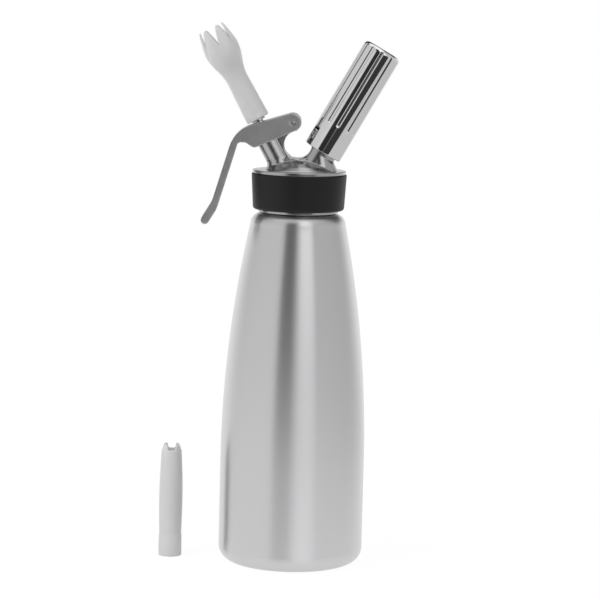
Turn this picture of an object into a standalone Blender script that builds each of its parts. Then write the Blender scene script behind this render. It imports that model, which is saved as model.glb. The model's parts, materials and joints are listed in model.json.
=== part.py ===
"""A one litre whipped cream dispenser, built piece by piece.

Frame: origin at the centre of the bottle's foot, +Z up the bottle's axis, +X towards the
charger holder and -X towards the nozzle and the lever. Lengths are in metres.
The nozzle arm and the charger arm each have an axis that crosses the bottle's axis inside
the head, and heights along an arm are measured from that crossing.
"""

import math

import bmesh
import bpy
from mathutils import Matrix, Vector

# Clearances, and how finely round pieces are cut
gap = 0.0003
overrun = 0.002
axis_merge = 0.00001
cap_merge = 0.000001
bottle_steps = 32
round_steps = 22
ridge_steps = 24
small_steps = 14
port_steps = 8
flute_steps = 10
holder_steps = 36
arc_steps = 4

# Bottle: one drawn steel shell with a rolled thread on its neck
bottle_radius = 0.0500
bottle_wall = 0.0010
base_fillet = 0.0105
foot_width = 0.0040
foot_step = 0.0012
underside_recess = 0.0012
straight_height = 0.070
shoulder_height = 0.2355
shoulder_inset = 0.0171
shoulder_rise = 0.0075
neck_radius = 0.0242
collar_projection = 0.0013
collar_height = 0.0005
neck_thread_height = 0.0185
neck_ridge = 0.0008
neck_pitch = 0.0050
neck_turns = 1.5
neck_ridge_below_rim = 0.0035
neck_thread_clearance = 0.0005

# Head: the casting's cup, lid and dome, its gasket and its silicone grip band
gasket_thickness = 0.0029
gasket_chamfer = 0.0004
mouth_clearance = 0.0003
skirt_wall = 0.0043
skirt_hem_height = 0.0037
skirt_hem_wall = 0.0020
lid_thickness = 0.0075
lip_thickness = 0.0023
lip_projection = 0.0024
lip_rounding = 0.0006
dome_radius = 0.0240
dome_height = 0.0080
band_thickness = 0.0027
band_taper = 0.0014
band_hem_rise = 0.0019
band_lower_rounding = 0.0022
band_upper_rounding = 0.0007

# Arms: lean from the bottle's axis, and how far below the lid's top their axes cross it
nozzle_lean = math.radians(29)
nozzle_crossing_drop = 0.0183
charger_lean = math.radians(29.5)
charger_crossing_drop = 0.0145

# Valve housing, part of the casting, and the valve inside it
housing_radius = 0.0085
housing_top = 0.0470
housing_foot_top = 0.0305
housing_foot_radius = 0.0100
housing_foot_offset = 0.0130
foot_sink = 0.0005
foot_inset = 0.0001
boss_radius = 0.0068
boss_top = 0.0180
boss_bottom = 0.0090
throat_radius = 0.0036
chamber_radius = 0.0055
chamber_floor = 0.0240
stem_radius = 0.0028
stem_bore = 0.0015
stem_port_radius = 0.0010
stem_port_height = 0.0300
stem_bore_bottom = 0.0280
stem_spigot_radius = 0.0016
stem_spigot_length = 0.0060
spring_collar_radius = 0.0049
spring_collar_height = 0.0360
spring_collar_thickness = 0.0015
spring_radius = 0.0043
spring_wire = 0.0009
spring_turns = 6
spring_points_per_turn = 8
valve_seal_radius = 0.0058
valve_seal_thickness = 0.0024
valve_nut_radius = 0.0045
valve_nut_thickness = 0.0022
gland_seal_thickness = 0.0014
bushing_length = 0.0070
bushing_flange_radius = 0.0070
bushing_flange_thickness = 0.0013
push_collar_radius = 0.0046
push_collar_thickness = 0.0026

# Saddle, ear and round cut-out between the arms
web_side_inset = 0.0003
saddle_half_length = 0.0130
saddle_sink = 0.0050
saddle_height = 0.0086
cutout_radius = 0.0095
cutout_height = 0.0178
cutout_offset = 0.0013
ear_radius = 0.0039
ear_root = 0.0050
ear_step = 0.0095
ear_foot = 0.0250

# Lever: a pressed channel, hung on a pin through the ear
pin_height = 0.0474
pin_offset = 0.0202
pin_radius = 0.0015
pin_end_projection = 0.0003
lever_sheet = 0.0015
lever_side_clearance = 0.0006
pivot_end_radius = 0.0060
plate_slope = math.radians(17.4)
plate_length = 0.0397
plate_bend_radius = 0.0225
arm_lean = math.radians(16.5)
arm_length = 0.0513
arm_depth = 0.0048
paddle_lean = math.radians(31)
paddle_bend_radius = 0.0200
paddle_length = 0.0134
paddle_end_radius = 0.0029
cheek_slope = math.radians(24)
cheek_toe_reach = 0.0262
cheek_toe_radius = 0.0035
crotch_drop = 0.0146
crotch_width = 0.0052
crotch_radius = 0.0022
slot_near = 0.0166
slot_far = 0.0258
slot_half_width = 0.0034

# Nozzle adapter and the tips that screw onto it
adapter_base = 0.0589
adapter_flange_radius = 0.0048
adapter_flange_thickness = 0.0012
adapter_root = 0.0043
adapter_shoulder = 0.0705
adapter_nose_radius = 0.0038
adapter_top = 0.0735
adapter_outlet = 0.0018
adapter_socket_top = 0.0668
stem_top_clearance = 0.0005
tip_ridge = 0.0005
tip_pitch = 0.0022
tip_turns = 2.0
tip_thread_clearance = 0.0003
insert_wall = 0.0011
insert_length = 0.0092
insert_inset = 0.0002
tip_base = 0.0602
tip_radius = 0.0082
tip_length = 0.0700
tip_wall = 0.0015
tip_ledge_thickness = 0.0016
tip_ledge_bore = 0.0044
tip_seal_section = 0.0009
petal_count = 6
petal_phase = 0
petal_notch_depth = 0.0142
petal_notch_width = 0.0080
tulip_outline_shares = (
    (0.00, 1.00), (0.16, 0.97), (0.30, 0.945), (0.42, 0.91), (0.48, 0.95), (0.55, 1.07),
    (0.64, 1.32), (0.73, 1.47), (0.80, 1.46), (0.87, 1.36), (0.94, 1.23), (1.00, 1.09),
)
petal_notch_outline_shares = (
    (0.00, 0.04), (0.25, 0.17), (0.63, 0.50), (0.92, 0.78), (1.00, 0.98), (1.10, 1.40),
)

# Straight tip, standing beside the bottle
straight_tip_place = (-0.0843, 0.0050)
straight_tip_radius = 0.0081
straight_tip_length = 0.0790
straight_tip_wall = 0.0013
crown_notch_depth = 0.0038
crown_notch_width = 0.0060
crown_phase = math.radians(2)
crown_notch_outline_shares = (
    (0.00, 0.55), (0.10, 0.75), (0.40, 0.88), (0.80, 0.97), (1.00, 1.02), (1.10, 1.05),
)
straight_outline_shares = (
    (0.00, 1.00), (0.17, 0.99), (0.20, 0.95), (0.215, 0.945), (0.23, 0.96), (0.35, 0.99),
    (0.52, 1.01), (0.70, 0.98), (0.84, 0.92), (0.93, 0.87), (0.97, 0.83), (1.00, 0.76),
)

# Charger arm: the casting's stub, its threaded nipple and what is inside it
stub_radius = 0.0103
stub_top = 0.0340
stub_foot_top = 0.0295
stub_foot_radius = 0.0123
stub_foot_offset = 0.0155
nipple_shank_radius = 0.0070
nipple_shank_bottom = 0.0240
nipple_top = 0.0480
nipple_bore = 0.0028
nipple_recess_radius = 0.0050
nipple_recess_floor = 0.0395
gas_passage_radius = 0.0016
charger_ridge = 0.0007
charger_pitch = 0.0030
charger_turns = 2.5
charger_thread_clearance = 0.0004
nipple_ridge_below_top = 0.0035
charger_seal_thickness = 0.0020
charger_seal_bore = 0.0014
pin_flange_height = 0.0360
needle_radius = 0.0008
needle_point_height = 0.0452
needle_point_length = 0.0012
needle_slot = 0.0008
check_valve_height = 0.0275
check_valve_length = 0.0060
check_valve_nose_share = 0.45

# Gas charger, a standard eight gram bulb, and the holder that screws over it
charger_radius = 0.0090
charger_wall = 0.0011
charger_neck_end = 0.0421
charger_neck_radius = 0.0044
charger_neck_length = 0.0090
charger_shoulder_length = 0.0065
charger_length = 0.0655
charger_neck_hole = 0.0014
holder_rim = 0.0315
holder_radius = 0.0139
holder_crown = 0.0050
holder_bore_clearance = 0.0005
holder_fit_step = 0.0010
holder_top_rounding = 0.0032
holder_rim_rounding = 0.0006
stub_clearance = 0.0005
flute_count = 12
flute_phase = math.radians(-91)
flute_cutter_radius = 0.0025
flute_depth = 0.0005
flute_start = 0.0190

# Sizes that follow from those above
neck_crest = neck_radius + neck_ridge
skirt_bore = neck_crest + neck_thread_clearance
collar_radius = neck_radius + collar_projection
shoulder_radius = bottle_radius - shoulder_inset
neck_foot = shoulder_height + shoulder_rise
collar_top = neck_foot + collar_height
rim_height = collar_top + neck_thread_height
gasket_bottom = rim_height + gap
ceiling_height = gasket_bottom + gasket_thickness + gap
mouth_height = collar_top + mouth_clearance
skirt_radius = skirt_bore + skirt_wall
lid_top = ceiling_height + lid_thickness
lip_bottom = lid_top - lip_thickness
lip_radius = skirt_radius + lip_projection
nozzle_crossing = lid_top - nozzle_crossing_drop
plate_to_stem = nozzle_lean - plate_slope
plate_under_pin = (pivot_end_radius - lever_sheet) / math.cos(plate_to_stem)
push_reach = (pin_offset - push_collar_radius) * math.tan(plate_to_stem)
push_collar_top = pin_height + plate_under_pin + push_reach - gap
charger_crossing = lid_top - charger_crossing_drop
web_thickness = 2 * (housing_radius - web_side_inset)
lever_inner_half = housing_radius + lever_side_clearance
lever_half_width = lever_inner_half + lever_sheet
charger_bore = charger_radius + holder_bore_clearance
holder_thread_bore = stub_radius + stub_clearance
nipple_root = holder_thread_bore - charger_ridge - charger_thread_clearance
charger_end = charger_neck_end + charger_length
holder_top = charger_end + gap + holder_crown
insert_bore = adapter_root + tip_ridge + tip_thread_clearance
insert_radius = insert_bore + insert_wall
tip_bore = insert_radius + gap


def clear_scene():
    """Remove the objects of the startup scene."""
    for obj in list(bpy.data.objects):
        bpy.data.objects.remove(obj)


def new_collection(name):
    group = bpy.data.collections.new(name)
    bpy.context.scene.collection.children.link(group)
    return group


def new_material(name, color, roughness, metallic):
    """A Principled material of one colour."""
    material = bpy.data.materials.new(name)
    material.use_nodes = True
    shader = material.node_tree.nodes["Principled BSDF"]
    shader.inputs["Base Color"].default_value = (*color, 1)
    shader.inputs["Roughness"].default_value = roughness
    shader.inputs["Metallic"].default_value = metallic
    material.diffuse_color = (*color, 1)
    return material


def new_frame(name, location, turn_about_y=0.0):
    """An empty that pieces are parented to. Its own Z is the axis of what it carries."""
    empty = bpy.data.objects.new(name, None)
    empty.location = location
    empty.rotation_euler = (0, turn_about_y, 0)
    parts.objects.link(empty)
    bpy.context.view_layer.update()
    return empty


def place(name, mesh, frame, material=None):
    """Put a mesh in the scene under a frame: a part when it has a material, else a tool."""
    obj = bpy.data.objects.new(name, mesh)
    obj.parent = frame
    if material:
        mesh.materials.append(material)
        parts.objects.link(obj)
    else:
        obj.hide_render = True
        obj.display_type = "WIRE"
        tools.objects.link(obj)
    return obj


def arc(center, radius, start, end, steps=arc_steps):
    """Points of a round stretch, from one angle to another, both in degrees."""
    points = []
    for i in range(steps + 1):
        angle = math.radians(start + (end - start) * i / steps)
        points.append((center[0] + radius * math.cos(angle), center[1] + radius * math.sin(angle)))
    return points


def whole_circle(center, radius, steps):
    """Points of a whole circle, without repeating the first."""
    return arc(center, radius, 0, 360, steps)[:-1]


def smooth_through(points, steps):
    """Points of a smooth curve that passes through each given point."""
    found = []
    last = len(points) - 1
    for i in range(last):
        before, here = Vector(points[max(i - 1, 0)]), Vector(points[i])
        after, beyond = Vector(points[i + 1]), Vector(points[min(i + 2, last)])
        for j in range(steps):
            t = j / steps
            blend = (2 * here + (after - before) * t
                     + (2 * before - 5 * here + 4 * after - beyond) * t ** 2
                     + (3 * here - before - 3 * after + beyond) * t ** 3) / 2
            found.append(tuple(blend))
    found.append(tuple(points[last]))
    return found


def rounded(corners):
    """An outline of (point, radius) corners, with each corner's radius worked in as an arc."""
    points = []
    for i, (corner, radius) in enumerate(corners):
        corner = Vector(corner)
        if not radius:
            points.append(tuple(corner))
            continue
        to_last = (Vector(corners[i - 1][0]) - corner).normalized()
        to_next = (Vector(corners[(i + 1) % len(corners)][0]) - corner).normalized()
        half_angle = to_last.angle(to_next) / 2
        inward = (to_last + to_next).normalized()
        center = corner + inward * radius / math.sin(half_angle)
        start = corner + to_last * radius / math.tan(half_angle) - center
        end = corner + to_next * radius / math.tan(half_angle) - center
        sweep = start.angle_signed(end)
        for j in range(arc_steps + 1):
            turned_by = Matrix.Rotation(-sweep * j / arc_steps, 2)
            points.append(tuple(center + turned_by @ start))
    return points


def turned(name, profile, frame, material=None, steps=round_steps, closed=False):
    """A turned shape from (radius, height) points that run down its outer side."""
    mesh = bpy.data.meshes.new(name)
    count = len(profile)
    edges = [(i, i + 1) for i in range(count - 1)]
    if closed:
        edges.append((count - 1, 0))
    mesh.from_pydata([(radius, 0, height) for radius, height in profile], edges, [])
    obj = place(name, mesh, frame, material)
    screw = obj.modifiers.new("turn", "SCREW")
    screw.steps = screw.render_steps = steps
    screw.use_merge_vertices = True
    screw.merge_threshold = axis_merge
    return obj


def curve_to_mesh(curve, frame, material):
    """Make a mesh of a curve, with its caps welded on."""
    draft = bpy.data.objects.new(curve.name, curve)
    tools.objects.link(draft)
    bpy.context.view_layer.update()
    evaluated = draft.evaluated_get(bpy.context.evaluated_depsgraph_get())
    mesh = bpy.data.meshes.new_from_object(evaluated)
    name = curve.name
    bpy.data.objects.remove(draft)
    bpy.data.curves.remove(curve)
    shape = bmesh.new()
    shape.from_mesh(mesh)
    bmesh.ops.remove_doubles(shape, verts=shape.verts, dist=cap_merge)
    bmesh.ops.recalc_face_normals(shape, faces=shape.faces)
    shape.to_mesh(mesh)
    shape.free()
    mesh.materials.clear()
    return place(name, mesh, frame, material)


def extruded(name, outline, half_thickness, frame, material=None, turn=None):
    """A flat outline given thickness. It stands in the frame's XZ plane unless turned."""
    curve = bpy.data.curves.new(name, "CURVE")
    curve.dimensions = "2D"
    curve.fill_mode = "BOTH"
    curve.extrude = half_thickness
    spline = curve.splines.new("POLY")
    spline.points.add(len(outline) - 1)
    spline.use_cyclic_u = True
    for point, (across, up) in zip(spline.points, outline):
        point.co = (across, up, 0, 1)
    obj = curve_to_mesh(curve, frame, material)
    obj.data.transform(turn or Matrix.Rotation(math.pi / 2, 4, "X"))
    return obj


def tube(name, points, radius, frame, material=None, resolution=1):
    """A round wire along points."""
    curve = bpy.data.curves.new(name, "CURVE")
    curve.dimensions = "3D"
    curve.bevel_depth = radius
    curve.bevel_resolution = resolution
    curve.use_fill_caps = True
    spline = curve.splines.new("POLY")
    spline.points.add(len(points) - 1)
    for point, place_of in zip(spline.points, points):
        point.co = (*place_of, 1)
    return curve_to_mesh(curve, frame, material)


def helix(radius, pitch, turns, start, steps):
    """Points that climb by one pitch for each turn."""
    points = []
    for i in range(round(turns * steps) + 1):
        angle = 2 * math.pi * i / steps
        points.append((radius * math.cos(angle), radius * math.sin(angle), start + pitch * i / steps))
    return points


def hull_between(name, rings, frame):
    """The convex solid between rings, each a list of points."""
    shape = bmesh.new()
    for ring in rings:
        for point in ring:
            shape.verts.new(point)
    bmesh.ops.convex_hull(shape, input=shape.verts)
    bmesh.ops.recalc_face_normals(shape, faces=shape.faces)
    mesh = bpy.data.meshes.new(name)
    shape.to_mesh(mesh)
    shape.free()
    return place(name, mesh, frame)


def ring_points(radius, matrix, steps=round_steps):
    points = []
    for i in range(steps):
        angle = 2 * math.pi * i / steps
        points.append(matrix @ Vector((radius * math.cos(angle), radius * math.sin(angle), 0)))
    return points


def combine(obj, other, operation):
    boolean = obj.modifiers.new(other.name, "BOOLEAN")
    boolean.operation = operation
    boolean.object = other


def join(obj, other):
    combine(obj, other, "UNION")


def cut(obj, other):
    combine(obj, other, "DIFFERENCE")


def cylinder_points(radius, bottom, top):
    """The profile of a plain cylinder."""
    return [(0, top), (radius, top), (radius, bottom), (0, bottom)]


def sleeve_points(bore, radius, bottom, top):
    """The closed profile of a plain ring or sleeve."""
    return [(bore, top), (radius, top), (radius, bottom), (bore, bottom)]


def thread_drop(ridge, inner_radius, outer_radius):
    """How far a female ridge lies below the male ridge that it pulls against."""
    reach = 2 * ridge + gap
    return math.sqrt(reach ** 2 - (outer_radius - inner_radius) ** 2)


def bottle_taper(height, inset):
    """The radius of the shell's long curved taper, set in by a wall."""
    rise = shoulder_height - straight_height
    sweep = (rise ** 2 + shoulder_inset ** 2) / (2 * shoulder_inset)
    climb = height - straight_height
    return bottle_radius - inset - (sweep - math.sqrt(sweep ** 2 - climb ** 2))


def bottle_side(inset, steps):
    """The side of the bottle from its base fillet up to its neck, set in by a wall."""
    points = arc((bottle_radius - base_fillet, base_fillet), base_fillet - inset, -90, 0)
    for i in range(steps + 1):
        height = straight_height + (shoulder_height - straight_height) * i / steps
        points.append((bottle_taper(height, inset), height))
    return points


def shoulder_points(start_radius, end_radius, rise):
    """The quarter oval from the taper's top in to the neck."""
    points = []
    for i in range(1, arc_steps + 1):
        angle = math.pi / 2 * i / arc_steps
        radius = end_radius + (start_radius - end_radius) * math.cos(angle)
        points.append((radius, shoulder_height + rise * math.sin(angle)))
    return points


def make_bottle(frame, steel):
    inner_neck = neck_radius - bottle_wall
    foot_inner = bottle_radius - base_fillet - foot_width
    panel_edge = foot_inner - foot_step
    floor = underside_recess + bottle_wall
    inner = [(0, floor), (panel_edge, floor), (foot_inner, bottle_wall)]
    inner += bottle_side(bottle_wall, 5)
    inner += shoulder_points(shoulder_radius - bottle_wall, inner_neck, shoulder_rise - bottle_wall)
    outer = [(0, underside_recess), (panel_edge, underside_recess), (foot_inner, 0)]
    outer += bottle_side(0, 8)
    outer += shoulder_points(shoulder_radius, collar_radius, shoulder_rise)
    outer += [(collar_radius, collar_top), (neck_radius, collar_top), (neck_radius, rim_height)]
    profile = inner + [(inner_neck, rim_height)] + outer[::-1]
    shell = turned("bottle_shell", profile, frame, steel, bottle_steps)
    start = rim_height - neck_ridge_below_rim - neck_pitch * neck_turns
    points = helix(neck_radius, neck_pitch, neck_turns, start, ridge_steps)
    join(shell, tube("neck_ridge", points, neck_ridge, frame))


def make_gasket(frame, silicone):
    bore = neck_radius - bottle_wall
    radius = skirt_bore - gap
    low, high = gasket_bottom, gasket_bottom + gasket_thickness
    profile = [(bore, high), (radius - gasket_chamfer, high), (radius, high - gasket_chamfer),
               (radius, low + gasket_chamfer), (radius - gasket_chamfer, low), (bore, low)]
    turned("head_gasket", profile, frame, silicone, bottle_steps, closed=True)


def head_cup(frame, steel):
    """The turned part of the casting: dome, lid with its bright lip, skirt and hem."""
    sweep = (dome_radius ** 2 + dome_height ** 2) / (2 * dome_height)
    spread = math.degrees(math.asin(dome_radius / sweep))
    dome = arc((0, lid_top + dome_height - sweep), sweep, 90, 90 - spread)
    dome[0] = (0, lid_top + dome_height)
    hem_top = mouth_height + skirt_hem_height
    hem_radius = skirt_bore + skirt_hem_wall
    lip = arc((lip_radius - lip_rounding, lid_top - lip_rounding), lip_rounding, 90, 0, 3)
    hem = arc((hem_radius - lip_rounding, mouth_height + lip_rounding), lip_rounding, 0, -90, 3)
    profile = dome + lip + [(lip_radius, lip_bottom), (skirt_radius, lip_bottom)]
    profile += [(skirt_radius, hem_top), (hem_radius, hem_top)] + hem
    profile += [(skirt_bore, mouth_height), (skirt_bore, ceiling_height), (0, ceiling_height)]
    return turned("head_casting", profile, frame, steel, bottle_steps)


def ear_outline():
    """The ear's side view in the nozzle arm's frame: across, then up."""
    top = pin_height + ear_radius
    around_pin = arc((pin_offset, pin_height), ear_radius, 90, -60)
    cutout_center = nozzle_frame_point(-cutout_offset, lid_top + cutout_height)
    beside_flange = (bushing_flange_radius + gap, housing_top - gap)
    start = [(ear_root, ear_foot), (ear_root, housing_top - gap), beside_flange, (ear_step, top)]
    return start + around_pin + [cutout_center]


def nozzle_frame_point(x, z):
    """A point of the plane Y = 0 as (across, up) in the nozzle arm's frame."""
    across, along = math.cos(nozzle_lean), math.sin(nozzle_lean)
    height = z - nozzle_crossing
    return (x * across + height * along, height * across - x * along)


def world_point(across, up):
    """A point of the nozzle arm's frame as (X, Z) in the plane Y = 0."""
    along, rise = math.sin(nozzle_lean), math.cos(nozzle_lean)
    return (across * rise - up * along, nozzle_crossing + across * along + up * rise)


def make_head(frame, nozzle, charger, steel):
    casting = head_cup(frame, steel)
    ridge_drop = thread_drop(neck_ridge, neck_radius, skirt_bore)
    start = rim_height - neck_ridge_below_rim - neck_pitch * neck_turns - ridge_drop
    points = helix(skirt_bore, neck_pitch, neck_turns, start, ridge_steps)
    join(casting, tube("skirt_ridge", points, neck_ridge, frame))

    housing = [(0, housing_top), (housing_radius, housing_top), (housing_radius, boss_top),
               (boss_radius, boss_top), (boss_radius, boss_bottom), (0, boss_bottom)]
    join(casting, turned("valve_housing", housing, nozzle))
    stub = cylinder_points(stub_radius, boss_top, stub_top)
    join(casting, turned("charger_stub", stub, charger))

    into_head = frame.matrix_world.inverted()
    for name, arm, arm_ring, dome_ring in (
            ("housing_foot", nozzle, (housing_radius, housing_foot_top),
             (housing_foot_radius, -housing_foot_offset)),
            ("stub_foot", charger, (stub_radius, stub_foot_top),
             (stub_foot_radius, stub_foot_offset))):
        upper = into_head @ arm.matrix_world @ Matrix.Translation((0, 0, arm_ring[1]))
        lower = Matrix.Translation((dome_ring[1], 0, lid_top - foot_sink))
        rings = [ring_points(arm_ring[0] - foot_inset, upper), ring_points(dome_ring[0], lower)]
        join(casting, hull_between(name, rings, frame))

    low, high = lid_top - saddle_sink, lid_top + saddle_height
    saddle = [(-saddle_half_length, low), (saddle_half_length, low),
              (saddle_half_length, high), (-saddle_half_length, high)]
    join(casting, extruded("saddle", saddle, web_thickness / 2, frame))
    join(casting, extruded("ear", ear_outline(), web_thickness / 2 - foot_inset, nozzle))

    hole = whole_circle((-cutout_offset, lid_top + cutout_height), cutout_radius, round_steps)
    cut(casting, extruded("arm_gap", hole, housing_radius + overrun, frame))
    bore = [(0, housing_top + overrun), (chamber_radius, housing_top + overrun),
            (chamber_radius, chamber_floor), (throat_radius, chamber_floor),
            (throat_radius, boss_bottom - overrun), (0, boss_bottom - overrun)]
    cut(casting, turned("valve_bore", bore, nozzle, steps=small_steps))
    shank_bore = nipple_shank_radius + gap
    passage = [(0, stub_top + overrun), (shank_bore, stub_top + overrun),
               (shank_bore, nipple_shank_bottom - gap), (gas_passage_radius, nipple_shank_bottom - gap),
               (gas_passage_radius, overrun), (0, overrun)]
    cut(casting, turned("gas_passage", passage, charger, steps=small_steps))
    pin_hole = whole_circle((pin_offset, pin_height), pin_radius + gap, small_steps)
    cut(casting, extruded("pin_hole", pin_hole, housing_radius + overrun, nozzle))


def make_band(frame, silicone):
    """The grip band hooks under the skirt and stands below the lid's lip."""
    bore = skirt_radius + gap
    hem_bore = skirt_bore + skirt_hem_wall + gap
    low, high = mouth_height + band_hem_rise, lip_bottom - gap
    top_radius = bore + band_thickness
    low_radius = top_radius - band_taper
    top_center = (top_radius - band_upper_rounding, high - band_upper_rounding)
    low_center = (low_radius - band_lower_rounding, low + band_lower_rounding)
    profile = [(bore, high)] + arc(top_center, band_upper_rounding, 90, 0, 3)
    profile += arc(low_center, band_lower_rounding, 0, -90, 4)
    hem_top = mouth_height + skirt_hem_height - gap
    profile += [(hem_bore, low), (hem_bore, hem_top), (bore, hem_top)]
    turned("grip_band", profile, frame, silicone, bottle_steps, closed=True)


def make_valve(nozzle, steel, silicone):
    spigot_top = boss_bottom
    spigot_end = spigot_top - stem_spigot_length
    collar_low = spring_collar_height
    collar_high = collar_low + spring_collar_thickness
    push_low = push_collar_top - push_collar_thickness
    stem_top = adapter_socket_top - stem_top_clearance
    stem = [(stem_bore, stem_top), (stem_radius, stem_top),
            (stem_radius, push_collar_top), (push_collar_radius, push_collar_top),
            (push_collar_radius, push_low), (stem_radius, push_low),
            (stem_radius, collar_high), (spring_collar_radius, collar_high),
            (spring_collar_radius, collar_low), (stem_radius, collar_low),
            (stem_radius, spigot_top), (stem_spigot_radius, spigot_top),
            (stem_spigot_radius, spigot_end), (0, spigot_end),
            (0, stem_bore_bottom), (stem_bore, stem_bore_bottom)]
    stem = turned("valve_stem", stem[-2:] + stem[:-2], nozzle, steel, small_steps)
    port = whole_circle((0, stem_port_height), stem_port_radius, port_steps)
    cut(stem, extruded("stem_port", port, stem_radius + overrun, nozzle))

    seal_bore = stem_spigot_radius + gap
    seal_low = spigot_top - gap - valve_seal_thickness
    profile = sleeve_points(seal_bore, valve_seal_radius, seal_low, spigot_top - gap)
    turned("valve_seal", profile, nozzle, silicone, small_steps, closed=True)
    nut_high = seal_low - gap
    profile = sleeve_points(seal_bore, valve_nut_radius, nut_high - valve_nut_thickness, nut_high)
    turned("valve_seal_nut", profile, nozzle, steel, 6, closed=True)

    bushing_bottom = housing_top - bushing_length
    bore = stem_radius + gap
    flange_low = housing_top + gap
    flange_high = flange_low + bushing_flange_thickness
    profile = [(bore, flange_high), (bushing_flange_radius, flange_high),
               (bushing_flange_radius, flange_low), (chamber_radius - gap, flange_low),
               (chamber_radius - gap, bushing_bottom), (bore, bushing_bottom)]
    turned("valve_bushing", profile, nozzle, steel, small_steps, closed=True)
    high = bushing_bottom - gap
    profile = sleeve_points(bore, chamber_radius - gap, high - gland_seal_thickness, high)
    turned("gland_seal", profile, nozzle, silicone, small_steps, closed=True)

    wire = spring_wire / 2
    bottom = chamber_floor + gap + wire
    rise = spring_collar_height - gap - wire - bottom
    points = helix(spring_radius, rise / spring_turns, spring_turns, bottom, spring_points_per_turn)
    tube("valve_spring", points, wire, nozzle, steel)


def make_adapter(nozzle, steel):
    flange_high = adapter_base + adapter_flange_thickness
    socket = stem_radius + gap
    profile = [(adapter_outlet, adapter_top), (adapter_nose_radius, adapter_top),
               (adapter_nose_radius, adapter_shoulder), (adapter_root, adapter_shoulder),
               (adapter_root, flange_high), (adapter_flange_radius, flange_high),
               (adapter_flange_radius, adapter_base), (socket, adapter_base),
               (socket, adapter_socket_top), (adapter_outlet, adapter_socket_top)]
    adapter = turned("nozzle_adapter", profile, nozzle, steel, small_steps, closed=True)
    start = adapter_shoulder - tip_ridge - gap - tip_pitch * tip_turns
    points = helix(adapter_root, tip_pitch, tip_turns, start, small_steps)
    join(adapter, tube("adapter_ridge", points, tip_ridge, nozzle, resolution=0))


def tip_insert(name, bottom, frame, steel):
    """The threaded metal sleeve in a tip's foot, with its bottom at a height of the frame."""
    low = bottom + insert_inset
    insert = turned(name, sleeve_points(insert_bore, insert_radius, low, low + insert_length),
                    frame, steel, small_steps, closed=True)
    seated = adapter_shoulder - tip_ridge - gap - tip_pitch * tip_turns - tip_base
    start = bottom + seated - thread_drop(tip_ridge, adapter_root, insert_bore)
    points = helix(insert_bore, tip_pitch, tip_turns, start, small_steps)
    join(insert, tube(name + "_ridge", points, tip_ridge, frame, resolution=0))


def tip_profile(bottom, length, radius, wall, shares, steps):
    """A tip's closed section: its smooth outside, its bore, ledge and socket."""
    outside = smooth_through([(radius * across, bottom + length * up) for up, across in shares], steps)
    socket_top = bottom + adapter_shoulder - tip_base + 2 * tip_seal_section + gap
    ledge_top = socket_top + tip_ledge_thickness
    inside = [(across - wall, up) for across, up in outside if up > ledge_top]
    lower = [(tip_ledge_bore, ledge_top), (tip_ledge_bore, socket_top),
             (tip_bore, socket_top), (tip_bore, bottom)]
    return outside[::-1] + lower[::-1] + inside[:-1:2] + inside[-1:]


def notch(name, bottom, length, depth, width, shares, angle, frame):
    """The cutter of two opposite notches, right across the tip."""
    floor = bottom + length - depth
    side = [(width / 2 * across, floor + depth * up) for up, across in shares]
    side.append((side[-1][0], floor + depth + overrun))
    outline = [(0, floor)] + side + [(-across, up) for across, up in side[::-1]]
    turn = Matrix.Rotation(angle, 4, "Z") @ Matrix.Rotation(math.pi / 2, 4, "X")
    return extruded(name, outline, 2 * tip_radius, frame, turn=turn)


def make_tips(nozzle, stand, plastic, steel, silicone):
    profile = tip_profile(tip_base, tip_length, tip_radius, tip_wall, tulip_outline_shares, 2)
    tulip = turned("tulip_tip", profile, nozzle, plastic, closed=True)
    for i in range(petal_count // 2):
        angle = petal_phase + 2 * math.pi * i / petal_count
        cut(tulip, notch("petal_notch", tip_base, tip_length, petal_notch_depth,
                         petal_notch_width, petal_notch_outline_shares, angle, nozzle))
    tip_insert("tulip_tip_insert", tip_base, nozzle, steel)

    center = (adapter_nose_radius + gap + tip_seal_section, adapter_shoulder + gap + tip_seal_section)
    section = whole_circle(center, tip_seal_section, port_steps)[::-1]
    turned("tip_seal", section, nozzle, silicone, small_steps, closed=True)

    profile = tip_profile(0, straight_tip_length, straight_tip_radius, straight_tip_wall,
                          straight_outline_shares, 1)
    straight = turned("straight_tip", profile, stand, plastic, closed=True)
    for angle in (crown_phase, crown_phase + math.pi / 2):
        cut(straight, notch("crown_notch", 0, straight_tip_length, crown_notch_depth,
                            crown_notch_width, crown_notch_outline_shares, angle, stand))
    tip_insert("straight_tip_insert", 0, stand, steel)


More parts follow.
